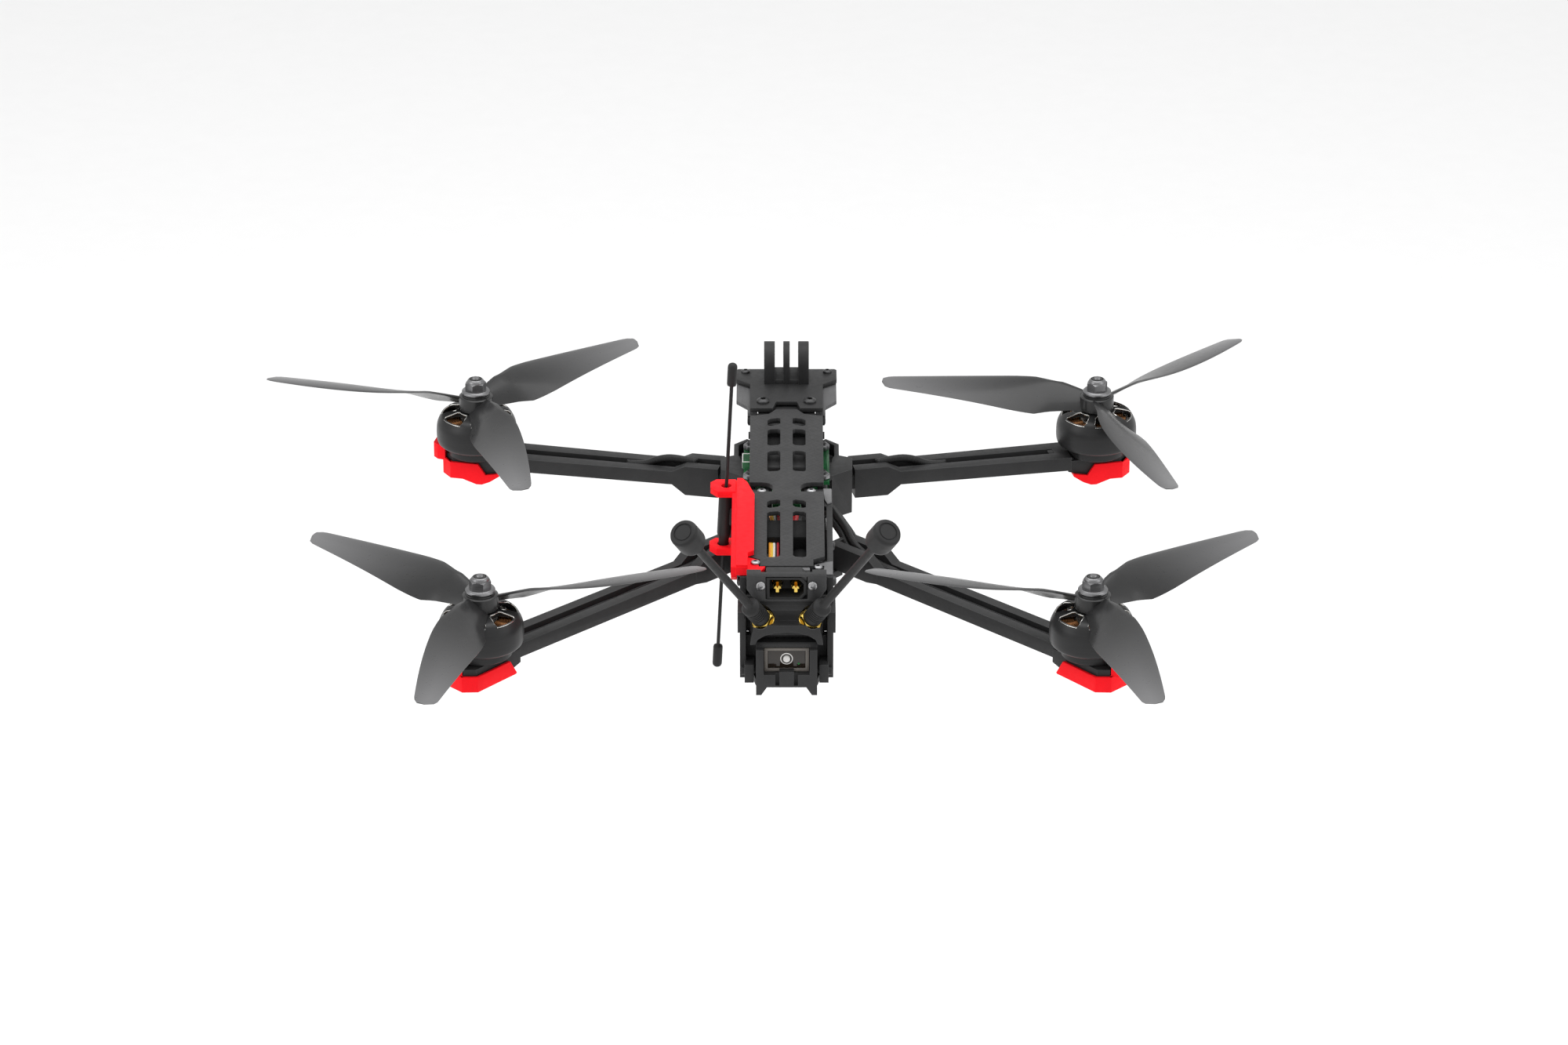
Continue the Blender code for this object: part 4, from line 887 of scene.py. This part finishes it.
def add_antennas():
    stem_threads = thread_profile(3.05, -6.6, 4.5)
    socket = turned([(0.0, 4.6), (2.7, 4.6)] + stem_threads + [(2.7, -7.0), (0.0, -7.0)], 48)
    washer = turned([(4.7, 0.9), (4.9, 0.7), (4.9, 0.3), (3.1, 0.3), (3.1, 0.9)], 48)
    hexagon = cylinder(4.75, (0, 0, 0.95), (0, 0, 3.1), 6)
    chamfer = turned([(4.1, 3.1), (4.85, 2.5), (4.85, 0.95), (3.1, 0.95), (3.1, 3.1)], 48)
    gold = smoothed(grouped(socket, washer, combined("INTERSECT", hexagon, [chamfer])), 30)
    for name in ("left", "right"):
        base, tip = antenna_axes("video_antenna_" + name)
        place = along(base, tip - base)
        length = (tip - base).length
        ribs = []
        for k in range(6):
            z = 12.6 - k * 1.25
            ribs += [(3.9, z), (3.9, z - 0.75), (3.62, z - 0.85), (3.62, z - 1.15)]
        head = through([(1.75, length - 15.2, 0), (2.5, length - 13.6, 0), (4.6, length - 11.4, 0),
                        (5.6, length - 9.6, 0), (5.8, length - 8.6, 0)], 4)[::-1]
        profile = ([(0.0, length - 0.35), (3.2, length - 0.35), (3.35, length - 0.6), (3.75, length - 0.6),
                    (3.9, length - 0.2), (4.9, length - 0.2), (5.45, length - 0.5), (5.75, length - 1.2),
                    (5.8, length - 2.0)]
                   + [(point.x, point.y) for point in head]
                   + [(1.75, 15.6), (2.2, 14.6), (3.5, 13.9), (3.9, 13.3)] + ribs
                   + [(3.9, 4.6), (3.9, 3.4), (3.2, 3.4), (3.2, 4.9), (0.0, 4.9)])
        show("mushroom_antenna_" + name, smoothed(turned(profile, 64), 40), "antenna", "root", place,
             ("video_antenna_" + name,))
        show("coax_socket_" + name, gold, "gold", "root", place, ("antenna_socket_" + name,))


def add_power_panel():
    """The paler face around the power socket, with its sloping lower corners."""
    front = span("power_socket")[0].y + 0.8
    half = [(16.0, 49.3), (16.0, 43.0), (12.3, 37.6)]
    outline = half + [(-x, z) for x, z in reversed(half)]
    hole = [(-8.45, 38.55), (8.45, 38.55), (8.45, 48.45), (-8.45, 48.45)]
    face = slab(outline, front - 0.25, front - 0.02, plane="XZ", holes=[hole])
    show("power_panel_face", rounded(face, 0.1), "panel_face")


def add_tail():
    pin_low, pin_high = span("power_pin_right")
    radius = (pin_high.x - pin_low.x) / 2
    length = pin_high.y - pin_low.y
    pin = turned([(0.0, length)] + [(radius - 0.55 + 0.55 * math.sin(t), length - 0.55 + 0.55 * math.cos(t))
                                    for t in (math.radians(a) for a in range(0, 91, 18))]
                 + [(radius, length - 3.4), (radius - 0.18, length - 4.0), (radius - 0.18, length - 4.8),
                    (radius, length - 5.2), (radius, 0.0), (0.0, 0.0)], 40)
    deep = (length - 3.4, length + 1.0)
    pockets = [box(x, (-2.2, 0.35), deep) for x in ((0.62, 2.2), (-2.2, -0.62))]
    notch = slab([(-0.75, 2.2), (0.75, 2.2), (0.0, 0.5)], *deep)
    pin = smoothed(cut(pin, *pockets, notch), 35)
    for name in ("left", "right"):
        centre = middle("power_pin_" + name)
        place = along((centre.x, pin_high.y, centre.z), (0, -1, 0))
        show("split_pin_" + name, pin, "gold", "root", place, ("power_pin_" + name,))

    body_low, body_high = span("video_transmitter")
    face = body_low.y
    button = middle("link_button")
    body = rounded(box((body_low.x, body_high.x), (face, body_high.y), (body_low.z, body_high.z)), 0.5, 3)
    pocket = cylinder(1.8, (button.x, face - 1.0, button.z), (button.x, face + 2.3, button.z), 40)
    show("video_unit", smoothed(cut(body, pocket), 40), "panel", stands_for=("video_transmitter",))
    outer = [(-9.1, 7.95), (9.1, 7.95), (9.1, 18.3), (-9.1, 18.3)]
    inner = [(-7.6, 9.3), (7.6, 9.3), (7.6, 17.2), (-7.6, 17.2)]
    bezel = rounded(slab(outer, face - 1.1, face - 0.15, plane="XZ", holes=[inner]), 0.22)
    show("window_bezel", bezel, "bezel")
    cap = turned([(0.0, 2.25), (0.9, 2.25), (1.2, 2.4), (1.4, 2.25), (1.45, 2.0), (1.45, 0.0),
                  (0.0, 0.0)], 40)
    show("link_button_cap", smoothed(cap), "mark", "button",
         along((button.x, span("link_button")[1].y, button.z), (0, -1, 0)), ("link_button",))
    ring = turned([(2.55, 0.06), (2.55, 0.0), (2.15, 0.0), (2.15, 0.06)], 48)
    show("button_ring", smoothed(ring), "mark", "root", along((button.x, face - 0.02, button.z), (0, -1, 0)))
    show("status_light", smoothed(cylinder(0.45, (4.9, face + 0.2, 11.0), (4.9, face - 0.12, 11.0), 20)),
         "wire_green")


def add_side_tabs():
    """Pale sanded tabs of the side panels, showing beside the top plate, and the bar behind it."""
    top = span("top_plate")[0].z
    show("tail_crossbar", soft_box((-8.3, 9.4), (-101.6, -98.8), (top - 0.6, top + 1.5), 0.4), "light_tab")
    for side, name in SIDES:
        front = [(side * x, y) for x, y in ((15.2, -20.4), (18.6, -20.4), (18.6, -33.5), (16.8, -35.2),
                                            (15.6, -31.0))]
        show("front_tab_" + name, rounded(slab(front, top - 0.35, top + 0.5), 0.2), "light_tab")
        if side > 0:
            rear = [(11.8, -93.6), (16.0, -91.5), (18.6, -90.5), (18.6, -102.8), (10.6, -102.8),
                    (10.6, -99.6), (15.0, -99.6), (15.2, -94.8)]
            show("rear_tab_" + name, rounded(slab(rear, top - 0.35, top + 0.3), 0.2), "light_tab")


def add_receiver_antenna():
    low, high = span("receiver_antenna")
    y = (low.y + high.y) / 2
    bottom, top = Vector((-29.1, y, low.z)), Vector((-22.0, y, high.z))
    length = (top - bottom).length
    scale = length / (top.z - bottom.z)
    body_top, body_low, neck_low = ((z - low.z) * scale for z in (45.4, 27.0, 19.5))

    def cap(start, sign):
        """A rounded tip, from its end inwards."""
        return [(r, start - sign * d) for r, d in ((0.0, 0.0), (0.9, 0.12), (1.5, 0.5), (1.9, 1.1),
                                                   (2.0, 1.9), (2.0, 9.2), (1.8, 9.9), (0.75, 10.5))]

    profile = (cap(length, 1)
               + [(0.75, body_top + 1.2), (1.6, body_top + 0.8), (2.5, body_top), (2.9, body_top - 1.2),
                  (2.9, body_low + 0.6), (2.75, body_low), (2.1, body_low - 2.3), (2.1, neck_low + 0.4),
                  (1.8, neck_low), (0.75, neck_low - 0.4)]
               + cap(0.0, -1)[::-1])
    whip = smoothed(turned(profile, 40), 50)
    show("receiver_whip", whip, "antenna", "root", along(bottom, top - bottom), ("receiver_antenna",))
    stub_x = bottom.x + (top.x - bottom.x) * (35.5 - low.z) / (high.z - low.z)
    show("whip_stub", soft_box((stub_x, -19.5), (y - 2.2, y + 2.2), (31.5, 39.5), 0.7), "antenna")


# ---- electronics and wiring

def add_stack():
    board_low, board_high = span("flight_controller")
    centre = (board_low + board_high) / 2
    reach = 15.25
    deck = span("mid_plate")[1].z
    lower = span("speed_controller")[0].z
    for index, (u, v) in enumerate(((-1, -1), (1, -1), (-1, 1), (1, 1)), 1):
        x, y = u * reach, centre.y + v * reach
        show(f"stack_bolt_{index}", smoothed(cylinder(1.45, (x, y, deck), (x, y, 27.2), 24)), "dark_steel")
        foot = turned([(2.3, lower - 0.05), (2.6, lower - 0.4), (2.6, deck + 0.3), (1.5, deck),
                       (1.5, lower - 0.05)])
        show(f"stack_foot_{index}", smoothed(foot), "wire_orange", "root", at(x, y))
        spacer = turned([(2.2, 21.9), (2.7, 21.4), (2.1, 20.6), (2.1, 16.0), (2.7, 15.3), (2.2, 14.7),
                         (1.5, 14.7), (1.5, 21.9)], 40)
        show(f"stack_spacer_{index}", smoothed(spacer), "chip", "root", at(x, y))
        nut = turned([(2.9, 26.0), (3.2, 25.6), (3.2, 23.7), (1.5, 23.7), (1.5, 26.0)], 6)
        show(f"stack_nut_{index}", rounded(nut, 0.12), "steel", "root", at(x, y))
    y = centre.y
    shell = cut(box((-18.9, -13.9), (y - 5.1, y + 4.1), (23.65, 26.6)),
                box((-18.4, -14.5), (y - 4.5, y + 3.5), (24.6, 27.5)))
    show("side_connector", rounded(shell, 0.15), "white")
    rows = [y + offset for offset in (-3.4, -2.0, -0.5, 1.0, 2.4)]
    pins = [box((-17.6, -15.2), (row - 0.2, row + 0.2), (24.2, 25.9)) for row in rows]
    show("connector_pins", grouped(*pins), "gold")
    colours = ("wine", "black", "yellow", "pale", "green")
    for index, (colour, row) in enumerate(zip(colours, rows), 1):
        line = through([(-15.6, row, 25.6), (-14.4, row - 0.4, 28.5), (-11.5, row - 3.0, 31.0),
                        (-9.0, row - 14.0, 31.5), (-7.0 + index * 0.4, row - 34.0, 34.0)], 5)
        show(f"signal_wire_{index}", rod(line, 0.42), "wire_" + colour)
    parts = []
    for index in range(22):
        x = -12.5 + 25.0 * ((index * 7) % 22) / 21
        away = -12.0 + 24.0 * ((index * 5) % 22) / 21
        if abs(x) > 6.2 or abs(away) > 6.2:
            parts.append(soft_box((x - 0.8, x + 0.8), (y + away - 0.45, y + away + 0.45),
                                  (23.55, 24.35), 0.1))
    show("board_capacitors", grouped(*parts), "tin")
    show("processor", soft_box((-5.1, 5.1), (y - 5.1, y + 5.1), (24.55, 24.95), 0.15), "chip")
    usb = cut(soft_box((-4.6, 4.6), (y + 12.0, y + 19.3), (23.7, 26.8), 0.6),
              box((-3.8, 3.8), (y + 17.5, y + 21.0), (24.5, 26.0)))
    show("usb_socket", smoothed(usb), "tin")
    fins = [box((-11.1, 11.1), (y + 3 * k - 0.55, y + 3 * k + 0.55), (17.3, 19.2)) for k in range(-5, 6)]
    show("heat_sink_fins", grouped(*fins), "dark_steel")


def add_wiring():
    """Leads under the top plate, from the tail socket to the stack, and the bundle in the long window."""
    top = span("top_plate")[0].z
    for index, (look, x, radius) in enumerate((("wire_orange", -6.75, 0.62), ("wire_yellow", -6.0, 0.55),
                                               ("wire_pale", -5.05, 0.55), ("wire_black", -4.3, 0.5),
                                               ("wire_wine", -3.5, 0.62)), 1):
        line = through([(x * 0.6, -99.0, top - 8.5), (x, -93.0, top - 4.5), (x, -84.0, top - 2.2),
                        (x, -72.0, top - 2.0), (x, -66.0, top - 3.6), (x * 0.9, -58.0, top - 10.0),
                        (x * 0.8, -40.0, top - 14.0), (x, -20.0, top - 12.0)], 6)
        show(f"window_wire_{index}", rod(line, radius), look)
    for name, look, side in (("negative", "wire_black", -1), ("positive", "wire_wine", 1)):
        start = middle("power_pin_" + ("left" if side < 0 else "right"))
        line = through([(start.x, -93.0, start.z), (start.x * 0.9 - 1, -88.0, 37.0),
                        (start.x * 0.6 - 2, -78.0, 27.0), (start.x * 0.6 - 2, -40.0, 23.5),
                        (start.x, 10.0, 20.0), (start.x, 38.0, 18.5)], 8)
        show("power_lead_" + name, rod(line, 1.7, 3), look)
    show("foam_block", soft_box((-9.2, 9.2), (-63.5, -46.5), (top - 9.5, top - 1.6), 0.8), "foam_and_painted_shade")
    show("front_foam", soft_box((-8.6, 8.6), (27.5, 38.5), (top - 9.0, top - 2.2), 0.8), "foam_and_painted_shade")
    can = middle("capacitor")
    low, high = span("capacitor")
    case = turned([(0.0, 0.0), (4.4, 0.0), (4.9, -0.5), (4.9, -2.2), (4.6, -2.7), (4.6, -3.1), (5.0, -3.6),
                   (5.0, low.y - high.y + 0.3), (4.6, low.y - high.y), (0.0, low.y - high.y)], 56)
    show("capacitor_case", smoothed(case), "antenna", "root",
         along((can.x, low.y, can.z), (0, -1, 0)), ("capacitor",))
    ribbon = through([(0, 79.3, 29.0), (0, 77.6, 25.5), (0, 75.8, 23.5), (0, 74.4, 24.8), (0, 72.0, 27.5)], 6)
    strips = [rod([point + Vector((x, 0, 0)) for point in ribbon], 0.35, 1)
              for x in (-2.1, -1.4, -0.7, 0.0, 0.7, 1.4, 2.1)]
    show("camera_ribbon", grouped(*strips), "wire_black")
    for side, name in SIDES:
        base, tip = antenna_axes("video_antenna_" + name)
        back = base - (tip - base).normalized() * 6.8
        line = through([tuple(back), (back.x * 0.8, -104.5, 24.0), (side * 5.0, -100.0, 20.5),
                        (side * 4.0, -96.0, 19.0)], 6)
        show("coax_lead_" + name, rod(line, 0.65), "wire_black")


# ---- stage

def area_light(name, place, target, size, power):
    data = bpy.data.lights.new(name, "AREA")
    data.shape = "RECTANGLE"
    data.size, data.size_y = size
    data.energy = power
    obj = bpy.data.objects.new(name, data)
    bpy.context.scene.collection.objects.link(obj)
    obj.location = place
    obj.rotation_euler = (Vector(target) - Vector(place)).to_track_quat("-Z", "Y").to_euler()


def add_stage():
    floor_z = cad_box[0][2] - 0.22
    shape = bmesh.new()
    bmesh.ops.create_grid(shape, x_segments=2, y_segments=2, size=6.0,
                          matrix=Matrix.Translation((0, 0, floor_z)))
    floor = bpy.data.objects.new("floor", from_bmesh(shape))
    bpy.context.scene.collection.objects.link(floor)
    floor.data.materials.append(finish("pale_floor", (0.93, 0.93, 0.93), 0.8, grain=60.0, bump=0.0,
                                       mottle=0.004))

    world = bpy.data.worlds.new("studio")
    world.use_nodes = True
    world.node_tree.nodes["Background"].inputs["Color"].default_value = (1.0, 1.0, 1.0, 1.0)
    world.node_tree.nodes["Background"].inputs["Strength"].default_value = 0.85
    bpy.context.scene.world = world
    area_light("top_box", (0.0, 0.15, 1.1), (0, 0, 0), (1.2, 0.9), 7.0)
    area_light("left_box", (-1.2, -0.5, 0.7), (0, 0, 0.03), (0.7, 0.9), 4.0)
    area_light("right_box", (1.2, -0.4, 0.7), (0, 0, 0.03), (0.7, 0.9), 3.0)
    bpy.context.scene.view_settings.view_transform = "Standard"

    elevation = math.radians(24.861)
    aim = Vector((-1.05, -4.39, 22.52)) * MM
    lens = bpy.data.cameras.new("view")
    lens.sensor_width = 36.0
    lens.lens = 139.68
    lens.clip_end = 20.0
    eye = bpy.data.objects.new("view", lens)
    bpy.context.scene.collection.objects.link(eye)
    away = Vector((0.0, -math.cos(elevation), math.sin(elevation)))
    eye.location = aim + away * 2.5424
    eye.rotation_euler = (-away).to_track_quat("-Z", "Y").to_euler()
    bpy.context.scene.camera = eye


def main():
    add_plates()
    add_arm_fittings()
    add_motors()
    add_nose_deck()
    add_camera()
    add_painted_shade_liners()
    add_fasteners()
    add_antennas()
    add_power_panel()
    add_tail()
    add_side_tabs()
    add_receiver_antenna()
    add_stack()
    add_wiring()
    add_stage()


main()
